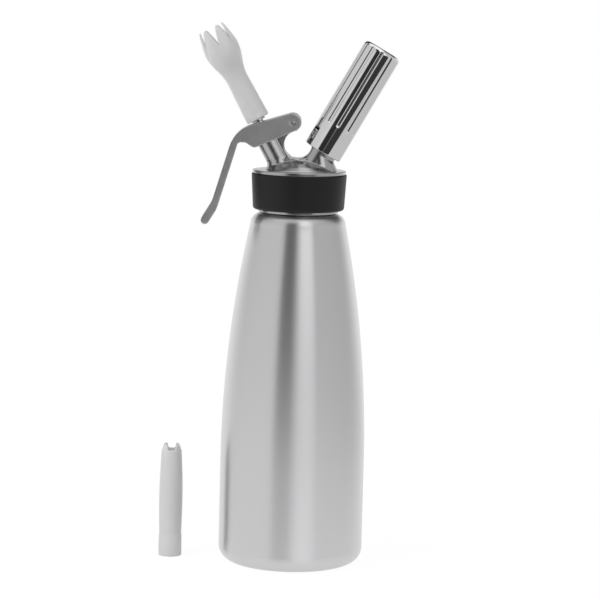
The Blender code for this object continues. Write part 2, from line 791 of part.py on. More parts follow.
def make_charger_arm(charger, steel, silicone):
    """The threaded nipple in the stub, and the seal, needle and check valve inside it."""
    shoulder = stub_top + gap
    profile = [(nipple_recess_radius, nipple_top), (nipple_root, nipple_top), (nipple_root, shoulder),
               (nipple_shank_radius, shoulder), (nipple_shank_radius, nipple_shank_bottom),
               (nipple_bore, nipple_shank_bottom), (nipple_bore, nipple_recess_floor),
               (nipple_recess_radius, nipple_recess_floor)]
    nipple = turned("charger_nipple", profile, charger, steel, closed=True)
    start = nipple_top - nipple_ridge_below_top - charger_pitch * charger_turns
    points = helix(nipple_root, charger_pitch, charger_turns, start, ridge_steps)
    join(nipple, tube("nipple_ridge", points, charger_ridge, charger, resolution=0))

    seal_low = nipple_recess_floor + gap
    seal_high = seal_low + charger_seal_thickness
    profile = sleeve_points(charger_seal_bore, nipple_recess_radius - gap, seal_low, seal_high)
    turned("charger_seal", profile, charger, silicone, small_steps, closed=True)

    flange_radius = nipple_bore - gap
    cone_foot = needle_point_height - needle_point_length
    flange_top = nipple_recess_floor - gap
    profile = [(0, needle_point_height), (needle_radius, cone_foot), (needle_radius, flange_top),
               (flange_radius, flange_top), (flange_radius, pin_flange_height), (0, pin_flange_height)]
    needle = turned("piercing_pin", profile, charger, steel, small_steps)
    near, far = needle_radius + gap, flange_radius + overrun
    slot_low = pin_flange_height - overrun
    slot = [(near, slot_low), (far, slot_low), (far, nipple_recess_floor), (near, nipple_recess_floor)]
    cut(needle, extruded("needle_slot", slot, needle_slot / 2, charger))

    nose_top = check_valve_height + check_valve_length * check_valve_nose_share
    top = check_valve_height + check_valve_length
    profile = [(0, top), (flange_radius, top), (flange_radius, nose_top), (0, check_valve_height)]
    turned("check_valve", profile, charger, silicone, small_steps)


def make_gas_charger(charger, chrome):
    neck_top = charger_neck_end + charger_neck_length
    body_foot = neck_top + charger_shoulder_length
    outer = arc((0, charger_end - charger_radius), charger_radius, 90, 0)
    outer[0] = (0, charger_end)
    outer += [(charger_radius, body_foot), (charger_neck_radius, neck_top),
              (charger_neck_radius, charger_neck_end), (charger_neck_hole, charger_neck_end)]
    inner_radius = charger_radius - charger_wall
    inner = [(charger_neck_hole, neck_top), (inner_radius, body_foot)]
    inner += arc((0, charger_end - charger_radius), inner_radius, 0, 90)
    inner[-1] = (0, charger_end - charger_wall)
    turned("gas_charger", outer + inner, charger, chrome)


def make_holder(charger, chrome):
    crown_center = (holder_radius - holder_top_rounding, holder_top - holder_top_rounding)
    crown = arc(crown_center, holder_top_rounding, 90, 0)
    rim_center = (holder_radius - holder_rim_rounding, holder_rim + holder_rim_rounding)
    rim = arc(rim_center, holder_rim_rounding, 0, -90, 3)
    thread_top = nipple_top + overrun
    dome = arc((0, charger_end + gap - charger_bore), charger_bore, 0, 90)
    dome[-1] = (0, charger_end + gap)
    profile = [(0, holder_top)] + crown + rim
    profile += [(holder_thread_bore, holder_rim), (holder_thread_bore, thread_top),
                (charger_bore, thread_top + holder_fit_step)] + dome
    holder = turned("charger_holder", profile, charger, chrome, holder_steps)
    ridge_drop = thread_drop(charger_ridge, nipple_root, holder_thread_bore)
    start = nipple_top - nipple_ridge_below_top - charger_pitch * charger_turns - ridge_drop
    points = helix(holder_thread_bore, charger_pitch, charger_turns, start, ridge_steps)
    join(holder, tube("holder_ridge", points, charger_ridge, charger, resolution=0))

    foot = holder_rim + flute_start
    reach = flute_cutter_radius
    cutter = [(0, holder_top + overrun), (reach, holder_top + overrun)]
    cutter += arc((0, foot + reach), reach, 0, -90, 4)
    cutter[-1] = (0, foot)
    center = holder_radius - flute_depth + flute_cutter_radius
    for i in range(flute_count):
        angle = flute_phase + 2 * math.pi * i / flute_count
        flute = turned("flute", cutter, charger, steps=flute_steps)
        flute.location = (center * math.cos(angle), center * math.sin(angle), 0)
        cut(holder, flute)


def toward(point, direction, distance):
    return (point[0] + direction[0] * distance, point[1] + direction[1] * distance)


def crossing(point_a, direction_a, point_b, direction_b):
    """Where two lines of the XZ plane cross."""
    turn = direction_a[0] * direction_b[1] - direction_a[1] * direction_b[0]
    apart = (point_b[0] - point_a[0], point_b[1] - point_a[1])
    return toward(point_a, direction_a, (apart[0] * direction_b[1] - apart[1] * direction_b[0]) / turn)


def make_lever(pivot, steel):
    """The lever in the frame of its pin: X across, Z up."""
    plate_way = (-math.cos(plate_slope), -math.sin(plate_slope))
    plate_out = (-math.sin(plate_slope), math.cos(plate_slope))
    arm_way = (-math.sin(arm_lean), -math.cos(arm_lean))
    arm_in = (math.cos(arm_lean), -math.sin(arm_lean))
    paddle_way = (-math.sin(paddle_lean), -math.cos(paddle_lean))
    paddle_in = (math.cos(paddle_lean), -math.sin(paddle_lean))
    cheek_way = (-math.cos(cheek_slope), -math.sin(cheek_slope))
    cheek_out = (math.sin(cheek_slope), -math.cos(cheek_slope))

    bend = toward(toward((0, 0), plate_out, pivot_end_radius), plate_way, plate_length)
    knee = toward(bend, arm_way, arm_length)
    paddle_foot = toward(knee, paddle_way, paddle_length)
    end_center = toward(paddle_foot, paddle_in, paddle_end_radius)
    end_start = 180 - math.degrees(paddle_lean)
    paddle_end = arc(end_center, paddle_end_radius, end_start, end_start + 180)
    inner_knee = crossing(toward(knee, arm_in, arm_depth), arm_way,
                          paddle_end[-1], paddle_way)
    crotch = crossing((0, -crotch_drop), (1, 0), inner_knee, arm_way)
    shelf = (crotch[0] + crotch_width, -crotch_drop)
    cheek_line = toward((0, 0), cheek_out, pivot_end_radius)
    toe = crossing(cheek_line, cheek_way, (-cheek_toe_reach, 0), (0, 1))
    pin_start, pin_end = math.degrees(cheek_slope) - 90, 90 + math.degrees(plate_slope)
    around_pin = arc((0, 0), pivot_end_radius, pin_start, pin_end, 12)
    corners = [(bend, plate_bend_radius), (knee, paddle_bend_radius)]
    corners += [(point, 0) for point in paddle_end]
    corners += [(inner_knee, paddle_bend_radius / 2), (crotch, crotch_radius), (shelf, crotch_radius)]
    corners += [(toe, cheek_toe_radius)]
    corners += [(point, 0) for point in around_pin]
    lever = extruded("lever", rounded(corners), lever_half_width, pivot, steel)

    roof = toward((0, 0), plate_out, pivot_end_radius - lever_sheet)
    inner_bend = crossing(roof, plate_way, toward(bend, arm_in, lever_sheet), arm_way)
    web_knee = crossing(inner_bend, arm_way, toward(knee, paddle_in, lever_sheet), paddle_way)
    cavity_end = toward(web_knee, paddle_way, paddle_length - lever_sheet)
    clear = pivot_end_radius + overrun
    hollow = [(toward(roof, plate_way, -clear), 0), (inner_bend, plate_bend_radius - lever_sheet),
              (web_knee, paddle_bend_radius + lever_sheet), (cavity_end, 0),
              (toward(cavity_end, paddle_in, 2 * paddle_end_radius), 0),
              (toward(inner_knee, arm_in, overrun), 0),
              ((toe[0], toe[1] - overrun), 0), ((clear, -2 * clear), 0)]
    cut(lever, extruded("lever_hollow", rounded(hollow), lever_inner_half, pivot))
    pin_hole = whole_circle((0, 0), pin_radius + gap, small_steps)
    cut(lever, extruded("lever_pin_hole", pin_hole, lever_half_width + overrun, pivot))

    slot = arc((-slot_near - slot_half_width, 0), slot_half_width, -90, 90, 8)
    slot += arc((-slot_far + slot_half_width, 0), slot_half_width, 90, 270, 8)
    turn = Matrix.Rotation(-plate_slope, 4, "Y")
    cut(lever, extruded("stem_slot", slot, 2 * pivot_end_radius, pivot, turn=turn))

    half = lever_half_width + pin_end_projection
    outline = whole_circle((0, 0), pin_radius, small_steps)
    extruded("pivot_pin", outline, half, pivot, steel)


def main():
    steel = new_material("brushed_steel", (0.62, 0.62, 0.63), 0.32, 1)
    satin = new_material("satin_steel", (0.42, 0.42, 0.43), 0.40, 1)
    chrome = new_material("chrome", (0.80, 0.80, 0.82), 0.08, 1)
    black = new_material("black_silicone", (0.03, 0.03, 0.032), 0.55, 0)
    red = new_material("red_silicone", (0.60, 0.04, 0.03), 0.50, 0)
    plastic = new_material("white_plastic", (0.86, 0.86, 0.84), 0.35, 0)

    bottle_axis = new_frame("bottle_axis", (0, 0, 0))
    nozzle_axis = new_frame("nozzle_axis", (0, 0, nozzle_crossing), -nozzle_lean)
    charger_axis = new_frame("charger_axis", (0, 0, charger_crossing), charger_lean)
    pin_x, pin_z = world_point(pin_offset, pin_height)
    lever_pivot = new_frame("lever_pivot", (pin_x, 0, pin_z))
    tip_stand = new_frame("straight_tip_stand", (*straight_tip_place, 0))

    make_bottle(bottle_axis, steel)
    make_gasket(bottle_axis, red)
    make_head(bottle_axis, nozzle_axis, charger_axis, steel)
    make_band(bottle_axis, black)
    make_valve(nozzle_axis, steel, black)
    make_adapter(nozzle_axis, steel)
    make_tips(nozzle_axis, tip_stand, plastic, steel, black)
    make_charger_arm(charger_axis, steel, black)
    make_gas_charger(charger_axis, chrome)
    make_holder(charger_axis, chrome)
    make_lever(lever_pivot, satin)


clear_scene()
parts = new_collection("whipped_cream_dispenser")
tools = new_collection("cutters")
main()
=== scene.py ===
"""A one litre whipped cream dispenser, dressed for a picture and laid out as an add-on.

Lengths are in metres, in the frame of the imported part: Z up the bottle's axis, +X towards the
charger holder and -X towards the nozzle and the lever. Heights along an arm run from the point
where its axis crosses the bottle's.
"""

import json
import math

import bmesh
import bpy
from bpy.props import FloatProperty, FloatVectorProperty, IntProperty, PointerProperty
from bpy.types import Operator, Panel, PropertyGroup
from mathutils import Matrix, Vector

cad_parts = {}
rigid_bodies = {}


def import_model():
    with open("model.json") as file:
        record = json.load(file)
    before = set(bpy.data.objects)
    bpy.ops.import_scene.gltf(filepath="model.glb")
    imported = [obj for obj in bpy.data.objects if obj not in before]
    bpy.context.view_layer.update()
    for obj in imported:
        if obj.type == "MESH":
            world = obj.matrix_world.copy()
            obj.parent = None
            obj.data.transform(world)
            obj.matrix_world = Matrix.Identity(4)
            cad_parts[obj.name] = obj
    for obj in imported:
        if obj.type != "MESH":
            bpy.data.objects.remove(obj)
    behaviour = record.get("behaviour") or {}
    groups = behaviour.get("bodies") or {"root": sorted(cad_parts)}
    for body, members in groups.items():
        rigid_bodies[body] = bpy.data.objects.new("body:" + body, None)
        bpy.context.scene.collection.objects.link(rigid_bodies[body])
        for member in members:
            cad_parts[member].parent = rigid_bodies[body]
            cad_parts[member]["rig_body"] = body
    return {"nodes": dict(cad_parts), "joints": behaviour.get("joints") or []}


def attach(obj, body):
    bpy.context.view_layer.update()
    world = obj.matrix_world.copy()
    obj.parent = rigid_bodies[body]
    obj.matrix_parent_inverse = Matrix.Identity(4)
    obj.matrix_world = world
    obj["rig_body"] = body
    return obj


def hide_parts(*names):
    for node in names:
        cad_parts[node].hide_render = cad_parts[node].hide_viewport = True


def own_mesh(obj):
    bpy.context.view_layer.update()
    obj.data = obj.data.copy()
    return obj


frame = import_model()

bl_info = {
    "name": "Whipped Cream Dispenser",
    "version": (1, 0, 0),
    "blender": (4, 5, 0),
    "location": "View3D > Sidebar > Dispenser",
    "description": "Builds the visible pieces of a whipped cream dispenser round its packed solids",
    "category": "Object",
}

TOUCH = 1e-6
ROUNDING_STEP = math.radians(7.5)
SHARP = math.radians(32)
TURN_STEPS = 96
BOTTLE_STEPS = 192
HOLDER_STEPS = 480
RIDGE_STEPS = 72
FADE_STEPS = 6


# Sizes and colours


def length(description, default):
    return FloatProperty(description=description, default=default, unit="LENGTH", precision=5)


def angle(description, degrees):
    return FloatProperty(description=description, default=math.radians(degrees), unit="ROTATION")


def amount(description, default):
    return FloatProperty(description=description, default=default, min=0, subtype="FACTOR")


def number(description, default):
    return IntProperty(description=description, default=default, min=1)


def color(description, default):
    return FloatVectorProperty(description=description, default=default, size=3, min=0, max=1,
                               subtype="COLOR")


def place(description, default):
    return FloatVectorProperty(description=description, default=default, size=3, subtype="TRANSLATION")


class BottleSettings(PropertyGroup):
    radius: length("Radius of the straight lower part", 0.0500)
    wall: length("Thickness of the drawn steel", 0.0010)
    fillet: length("Rounding between the side and the foot", 0.0105)
    foot_radius: length("Inner edge of the ring that it stands on", 0.0355)
    foot_step: length("Width of the step into the recessed panel", 0.0012)
    recess: length("How far the underside panel is set up", 0.0012)
    straight: length("Where the taper starts", 0.0700)
    shoulder: length("Where the taper ends", 0.2355)
    inset: length("How far the taper comes in", 0.0171)
    rise: length("Height of the turn from the taper to the neck", 0.0078)
    collar_radius: length("Radius of the collar under the thread", 0.0255)
    collar_top: length("Height of the collar's top", 0.2435)
    neck_radius: length("Radius of the threaded neck", 0.0242)
    rim: length("Height of the neck's rolled rim", 0.2620)
    ridge: length("Half the thickness of the rolled thread", 0.0008)
    pitch: length("Climb of the thread in one turn", 0.0050)
    turns: amount("Number of turns of the thread", 1.5)
    ridge_start: length("Height at which the thread starts", 0.2510)


class HeadSettings(PropertyGroup):
    bore: length("Inner radius of the threaded skirt", 0.0255)
    mouth: length("Height of the skirt's lower edge", 0.2438)
    skirt: length("Outer radius of the skirt under the grip", 0.0298)
    hem: length("Radius of the bright edge under the grip", 0.0275)
    hem_top: length("Height of that edge's top", 0.2475)
    ceiling: length("Underside of the lid", 0.2655)
    lid: length("Top of the lid", 0.2730)
    lip: length("Radius of the lid's lip", 0.0322)
    lip_thickness: length("Thickness of the lip", 0.0023)
    edge: length("Rounding of the lip and the hem", 0.0006)
    thread_drop: length("How far the skirt's thread lies below the neck's", 0.001386)
    dome_radius: length("Radius of the dome on the lid", 0.0240)
    dome_height: length("Height of the dome", 0.0080)
    join: length("How far the crown reaches down into the lid", 0.0015)
    housing: length("Radius of the valve housing", 0.0085)
    housing_top: length("Top of the valve housing along its arm", 0.0470)
    housing_foot: length("Where the housing's foot starts to spread", 0.0305)
    housing_spread: length("Radius of that foot on the dome", 0.0100)
    housing_reach: length("How far out that foot stands", 0.0130)
    boss: length("Radius of the valve's seat under the lid", 0.0068)
    boss_top: length("Top of the seat along the arm", 0.0180)
    boss_bottom: length("Bottom of the seat along the arm", 0.0090)
    throat: length("Radius of the passage for the cream", 0.0036)
    chamber: length("Radius of the valve's chamber", 0.0055)
    chamber_floor: length("Floor of the chamber along the arm", 0.0240)
    stub: length("Radius of the stub for the charger", 0.0103)
    stub_top: length("Top of the stub along its arm", 0.0340)
    stub_foot: length("Where the stub's foot starts to spread", 0.0295)
    stub_spread: length("Radius of that foot on the dome", 0.0123)
    stub_reach: length("How far out that foot stands", 0.0155)
    shank_bore: length("Radius of the bore for the nipple", 0.0073)
    shank_floor: length("Floor of that bore along the arm", 0.0237)
    passage: length("Radius of the passage for the gas", 0.0016)
    web: length("Thickness of the saddle and the ear", 0.0164)
    saddle: length("Half the length of the saddle", 0.0130)
    saddle_height: length("Height of the saddle above the lid", 0.0086)
    gap_radius: length("Radius of the round gap between the arms", 0.0095)
    gap_height: length("Height of the gap's centre above the lid", 0.0178)
    gap_offset: length("How far the gap's centre is from the axis", 0.0013)
    ear: length("Radius of the ear round the lever's pin", 0.0039)
    ear_root: length("Inner edge of the ear", 0.0050)
    ear_step: length("Where the ear's top starts", 0.0095)
    ear_foot: length("Bottom of the ear along the arm", 0.0250)
    grain: length("Size of the grid that the casting is rebuilt on", 0.00042)
    band_bore: length("Inner radius of the grip", 0.0301)
    band_top: length("Outer radius at the grip's top", 0.0328)
    band_low: length("Outer radius at the grip's bottom", 0.0314)
    band_high: length("Height of the grip's top", 0.2704)
    band_bottom: length("Height of the grip's bottom", 0.2457)
    band_hem: length("Inner radius of the grip's hooked edge", 0.0278)
    band_hem_top: length("Top of that edge", 0.2472)


class LeverSettings(PropertyGroup):
    pin_offset: length("How far the pin is from the arm's axis", 0.0202)
    pin_height: length("Height of the pin along the arm", 0.0474)
    pin: length("Radius of the pin", 0.0015)
    pin_hole: length("Radius of the pin's holes", 0.0018)
    pin_half: length("Half the length of the pin", 0.0109)
    sheet: length("Thickness of the pressed sheet", 0.0015)
    inner_half: length("Half the width of the channel", 0.0091)
    half: length("Half the width of the lever", 0.0106)
    pivot_end: length("Radius of the end round the pin", 0.0060)
    plate_slope: angle("Slope of the top plate", 17.4)
    plate_length: length("Length of the top plate", 0.0397)
    plate_bend: length("Radius of the bend into the arm", 0.0225)
    arm_lean: angle("Lean of the arm", 16.5)
    arm_length: length("Length of the arm", 0.0513)
    arm_depth: length("Depth of the arm's channel", 0.0048)
    paddle_lean: angle("Lean of the paddle", 31)
    paddle_bend: length("Radius of the bend into the paddle", 0.0200)
    paddle_length: length("Length of the paddle", 0.0134)
    paddle_end: length("Radius of the rolled end", 0.0029)
    cheek_slope: angle("Slope of the cheeks' lower edge", 24)
    toe_reach: length("How far the cheeks' toe is from the pin", 0.0262)
    toe: length("Rounding of that toe", 0.0035)
    crotch_drop: length("How far the notch behind the toe is below the pin", 0.0146)
    crotch_width: length("Width of that notch", 0.0052)
    crotch: length("Rounding of that notch", 0.0022)
    slot_near: length("Near end of the slot for the stem", 0.0166)
    slot_far: length("Far end of that slot", 0.0258)
    slot_half: length("Half the width of that slot", 0.0034)
    grain: length("Size of the grid that the lever is rebuilt on", 0.00036)


class ValveSettings(PropertyGroup):
    edge: length("Rounding of the small turned pieces", 0.00018)
    port: length("Radius of the stem's cross port", 0.0010)
    port_height: length("Height of that port along the arm", 0.0300)
    stem: length("Radius of the stem", 0.0028)
    spring: length("Radius of the spring's coil", 0.0043)
    wire: length("Half the thickness of the wire", 0.00045)
    spring_bottom: length("Bottom of the coil's line along the arm", 0.02475)
    spring_top: length("Top of the coil's line along the arm", 0.03525)
    spring_turns: amount("Number of turns of the spring", 6)
    squeeze: length("How far the pressed valve squeezes the spring", 0.0029)


class NozzleSettings(PropertyGroup):
    base: length("Bottom of the adapter along the arm", 0.0589)
    flange: length("Radius of the adapter's rim", 0.0048)
    flange_top: length("Top of that rim", 0.0601)
    root: length("Radius at the root of the adapter's thread", 0.0043)
    shoulder: length("Top of the threaded part", 0.0705)
    nose: length("Radius of the adapter's nose", 0.0038)
    top: length("Top of the nose", 0.0735)
    outlet: length("Radius of the outlet", 0.0018)
    socket: length("Radius of the socket for the stem", 0.0031)
    socket_top: length("Top of that socket", 0.0668)
    ridge: length("Half the thickness of the thread", 0.0005)
    pitch: length("Climb of the thread in one turn", 0.0022)
    turns: amount("Number of turns of the thread", 2)
    ridge_start: length("Where the adapter's thread starts along the arm", 0.0653)
    drop: length("How far a tip's thread lies below the adapter's", 0.001025)
    insert_bore: length("Inner radius of a tip's metal sleeve", 0.0051)
    insert: length("Outer radius of that sleeve", 0.0062)
    insert_inset: length("How far that sleeve is set up into the tip", 0.0002)
    insert_length: length("Length of that sleeve", 0.0092)
    seal: length("Half the thickness of the ring in the tip", 0.0009)


class TipSettings(PropertyGroup):
    base: length("Bottom of the tulip tip along the arm", 0.0602)
    radius: length("Radius at the foot of the tulip tip", 0.0082)
    tall: length("Length of the tulip tip", 0.0700)
    wall: length("Wall of the tulip tip", 0.0015)
    bore: length("Radius of the bore for the metal sleeve", 0.0065)
    socket_top: length("Height of the ledge above the tip's foot", 0.0124)
    ledge: length("Thickness of that ledge", 0.0016)
    ledge_bore: length("Radius of the hole in that ledge", 0.0044)
    petals: number("Number of petals of the tulip tip", 6)
    phase: angle("Turn of the first cut between petals", 0)
    notch: length("Depth of the cuts between petals", 0.0142)
    notch_width: length("Width of those cuts", 0.0080)
    dip: length("How far the wall dips below each cut", 0.0011)
    dip_start: length("Where the dip starts above the foot", 0.0450)
    dip_full: length("Where the dip is full above the foot", 0.0570)
    stand_x: length("Where the straight tip stands", -0.0843)
    stand_y: length("Where the straight tip stands", 0.0050)
    slim_radius: length("Radius at the foot of the straight tip", 0.0081)
    slim_tall: length("Length of the straight tip", 0.0790)
    slim_wall: length("Wall of the straight tip", 0.0013)
    teeth_depth: length("Depth of the cuts between the teeth", 0.0038)
    teeth_width: length("Width of those cuts", 0.0060)
    teeth_phase: angle("Turn of the first of those cuts", 2)
    grain: length("Size of the grid that the tips are rebuilt on", 0.00038)


class ChargerSettings(PropertyGroup):
    shank: length("Radius of the nipple's shank", 0.0070)
    shank_bottom: length("Bottom of the shank along the arm", 0.0240)
    shoulder: length("Bottom of the nipple's threaded part", 0.0343)
    root: length("Radius at the root of the nipple's thread", 0.0097)
    top: length("Top of the nipple along the arm", 0.0480)
    bore: length("Radius of the nipple's bore", 0.0028)
    recess: length("Radius of the recess for the seal", 0.0050)
    recess_floor: length("Floor of that recess along the arm", 0.0395)
    ridge: length("Half the thickness of the thread", 0.0007)
    pitch: length("Climb of the thread in one turn", 0.0030)
    turns: amount("Number of turns of the thread", 2.5)
    ridge_start: length("Where the nipple's thread starts along the arm", 0.0370)
    drop: length("How far the holder's thread lies below the nipple's", 0.001296)
    bulb: length("Radius of the gas charger", 0.0090)
    bulb_wall: length("Wall of the gas charger", 0.0011)
    bulb_bottom: length("End of the gas charger's neck along the arm", 0.0421)
    bulb_tall: length("Length of the gas charger", 0.0655)
    bulb_neck: length("Radius of its neck", 0.0044)
    bulb_neck_tall: length("Length of its neck", 0.0090)
    bulb_shoulder: length("Length of its shoulder", 0.0065)
    bulb_hole: length("Radius of the hole in its neck", 0.0014)


class HolderSettings(PropertyGroup):
    rim: length("Open end of the holder along the arm", 0.0315)
    radius: length("Radius of the holder", 0.0139)
    top: length("Closed end of the holder along the arm", 0.1129)
    top_rounding: length("Rounding of the closed end", 0.0032)
    rim_rounding: length("Rounding of the open end", 0.0006)
    thread_bore: length("Radius of the threaded bore", 0.0108)
    thread_top: length("Top of the threaded bore along the arm", 0.0500)
    bore: length("Radius of the bore for the charger", 0.0095)
    fit_step: length("Length of the step between the bores", 0.0010)
    bore_end: length("End of the bore along the arm", 0.1079)
    flutes: number("Number of flutes", 12)
    flute_phase: angle("Turn of the first flute", -91)
    flute_cutter: length("Radius of the round cutter that makes the flutes", 0.0025)
    flute_circle: length("Radius of the circle that the cutter's axis runs on", 0.0159)
    flute_foot: length("Bottom of the flutes along the arm", 0.0505)


class FinishSettings(PropertyGroup):
    bottle: color("Colour of the brushed bottle", (0.66, 0.66, 0.67))
    head: color("Colour of the cast head", (0.46, 0.46, 0.465))
    lever: color("Colour of the pressed lever", (0.56, 0.56, 0.565))
    polished: color("Colour of the charger holder", (0.80, 0.80, 0.81))
    machined: color("Colour of the turned pieces", (0.62, 0.62, 0.625))
    grip: color("Colour of the grip", (0.009, 0.009, 0.0095))
    gasket: color("Colour of the head's gasket", (0.55, 0.03, 0.02))
    seal: color("Colour of the seals", (0.02, 0.02, 0.021))
    plastic: color("Colour of the moulded tips", (0.76, 0.765, 0.76))
    bottle_roughness: amount("Roughness of the brushed bottle", 0.34)
    bottle_grain: amount("How much the brushing stretches highlights", 0.85)


class StageSettings(PropertyGroup):
    camera_place: place("Where the camera stands", (0.0027, -1.7334, 0.3948))
    camera_tilt: angle("How far the camera looks down", 6.97)
    camera_roll: angle("How far the camera is rolled", 1.45)
    lens: amount("Focal length in millimetres", 151.4)
    floor: length("Half the size of the floor", 0.70)
    floor_color: color("Colour of the floor", (0.86, 0.86, 0.86))
    key_power: amount("Power of the soft key lamp, in watts", 10)
    key_place: place("Where the soft key lamp stands", (-1.5, -1.2, 1.2))
    key_aim: place("The point that it shines at", (0, 0, 0.18))
    key_size: length("Width of the soft key lamp", 0.9)


# Outlines and shapes


def joint(name):
    return next(found for found in frame["joints"] if found["name"] == name)


def arm_frame(joint_name):
    """A matrix whose Z runs along the arm that a joint turns about."""
    found = joint(joint_name)
    lean = math.atan2(found["axis"][0], found["axis"][2])
    return Matrix.Translation(found["pos_m"]) @ Matrix.Rotation(lean, 4, "Y")


UPRIGHT = Matrix()
NOZZLE = arm_frame("tip_turn")
CHARGER = arm_frame("holder_turn")
PIVOT = Matrix.Translation(joint("lever_press")["pos_m"])


def arc(center, radius, start, end):
    """Points of a round stretch, from one angle to another, both in degrees."""
    steps = max(2, round(math.radians(abs(end - start)) / ROUNDING_STEP))
    turns = [math.radians(start + (end - start) * i / steps) for i in range(steps + 1)]
    return [(center[0] + radius * math.cos(t), center[1] + radius * math.sin(t)) for t in turns]


def circle(center, radius):
    return arc(center, radius, 0, 360)[:-1]


def corner_path(corners):
    """The closed outline through corners of (across, up, rounding), each rounding worked in."""
    path = []
    for i, (across, up, rounding) in enumerate(corners):
        corner = Vector((across, up))
        if not rounding:
            path.append(tuple(corner))
            continue
        back = (Vector(corners[i - 1][:2]) - corner).normalized()
        on = (Vector(corners[(i + 1) % len(corners)][:2]) - corner).normalized()
        half = back.angle(on) / 2
        center = corner + (back + on).normalized() * rounding / math.sin(half)
        start = corner + back * rounding / math.tan(half) - center
        sweep = start.angle_signed(corner + on * rounding / math.tan(half) - center)
        steps = max(2, round(abs(sweep) / ROUNDING_STEP))
        path += [tuple(center + Matrix.Rotation(-sweep * j / steps, 2) @ start) for j in range(steps + 1)]
    return path


def smooth_through(points, steps):
    """Points of a smooth curve that passes through each given point."""
    found = []
    last = len(points) - 1
    for i in range(last):
        before, here = Vector(points[max(i - 1, 0)]), Vector(points[i])
        after, beyond = Vector(points[i + 1]), Vector(points[min(i + 2, last)])
        for t in (j / steps for j in range(steps)):
            found.append((2 * here + (after - before) * t
                          + (2 * before - 5 * here + 4 * after - beyond) * t ** 2
                          + (3 * here - before - 3 * after + beyond) * t ** 3) / 2)
    return [tuple(point) for point in found] + [points[last]]


def tidy(shape):
    """Weld a shape's doubles and point its faces outwards."""
    bmesh.ops.remove_doubles(shape, verts=shape.verts, dist=TOUCH)
    bmesh.ops.recalc_face_normals(shape, faces=shape.faces)
    return shape


def lathe(path, matrix=UPRIGHT, closed=False, steps=TURN_STEPS):
    """Turn an outline of (radius, height) points round Z."""
    shape = bmesh.new()
    verts = [shape.verts.new((radius, 0, height)) for radius, height in path]
    follow = verts[1:] + verts[:1] if closed else verts[1:]
    edges = [shape.edges.new(pair) for pair in zip(verts, follow)]
    bmesh.ops.spin(shape, geom=verts + edges, axis=(0, 0, 1), angle=2 * math.pi, steps=steps, use_merge=True)
    tidy(shape)
    bmesh.ops.transform(shape, matrix=matrix, verts=shape.verts)
    return shape


def turned(corners, matrix=UPRIGHT, steps=TURN_STEPS, closed=True):
    return lathe(corner_path(corners), matrix, closed, steps)


def stepped(*steps):
    """The corners of a plain stepped shaft: each step's radius and its lower end, then its upper end."""
    corners = [(0, steps[0][1], 0)]
    for (radius, low), (_, high) in zip(steps, steps[1:]):
        corners += [(radius, low, 0), (radius, high, 0)]
    return corners + [(0, steps[-1][1], 0)]


def slab(path, half, matrix=UPRIGHT):
    """An outline of the XZ plane given thickness along Y."""
    shape = bmesh.new()
    face = shape.faces.new([shape.verts.new((across, -half, up)) for across, up in path])
    moved = bmesh.ops.extrude_face_region(shape, geom=[face])["geom"]
    moved = [found for found in moved if isinstance(found, bmesh.types.BMVert)]
    bmesh.ops.translate(shape, vec=(0, 2 * half, 0), verts=moved)
    bmesh.ops.recalc_face_normals(shape, faces=shape.faces)
    bmesh.ops.transform(shape, matrix=matrix, verts=shape.verts)
    return shape


def hull(rings):
    """The convex solid between rings, each a (matrix, radius)."""
    shape = bmesh.new()
    for matrix, radius in rings:
        bmesh.ops.create_circle(shape, segments=TURN_STEPS, radius=radius, matrix=matrix)
    bmesh.ops.convex_hull(shape, input=shape.verts)
    return tidy(shape)


def last_face(geometry):
    return next(found for found in geometry if isinstance(found, bmesh.types.BMFace))


def ridge(radius, section, pitch, turns, start, matrix=UPRIGHT, fade=0.0, sides=12):
    """A round ridge that climbs round Z. Its ends sink by the fade, outwards where it is negative."""
    shape = bmesh.new()
    across = Matrix.Translation((radius, 0, start)) @ Matrix.Rotation(math.pi / 2, 4, "X")
    made = bmesh.ops.create_circle(shape, cap_ends=True, segments=sides, radius=section, matrix=across)
    first = made["verts"][0].link_faces[0]
    steps = round(turns * RIDGE_STEPS)
    turn, climb = 2 * math.pi * turns / steps, pitch * turns / steps
    spun = bmesh.ops.spin(shape, geom=[first], axis=(0, 0, 1), dvec=(0, 0, climb), angle=turn * steps,
                          steps=steps)
    if fade:
        for face, way in ((last_face(spun["geom_last"]), 1), (first, -1)):
            for _ in range(FADE_STEPS):
                grown = bmesh.ops.extrude_face_region(shape, geom=[face])["geom"]
                face = last_face(grown)
                outward = face.calc_center_median() * Vector((1, 1, 0))
                shift = Vector((0, 0, way * climb)) - outward.normalized() * fade / FADE_STEPS
                bmesh.ops.translate(shape, vec=shift, verts=face.verts)
                bmesh.ops.rotate(shape, matrix=Matrix.Rotation(way * turn, 3, "Z"), verts=face.verts)
    bmesh.ops.recalc_face_normals(shape, faces=shape.faces)
    bmesh.ops.transform(shape, matrix=matrix, verts=shape.verts)
    return shape


def with_shells(shape, *others):
    """Add other shapes to a shape as shells of their own."""
    for other in others:
        mesh = bpy.data.meshes.new("shell")
        other.to_mesh(mesh)
        other.free()
        shape.from_mesh(mesh)
        bpy.data.meshes.remove(mesh)
    return shape


def draft(shape):
    """A helper object that holds a shape, which is used up."""
    mesh = bpy.data.meshes.new("draft")
    shape.to_mesh(mesh)
    shape.free()
    obj = bpy.data.objects.new("draft", mesh)
    bpy.context.scene.collection.objects.link(obj)
    return obj


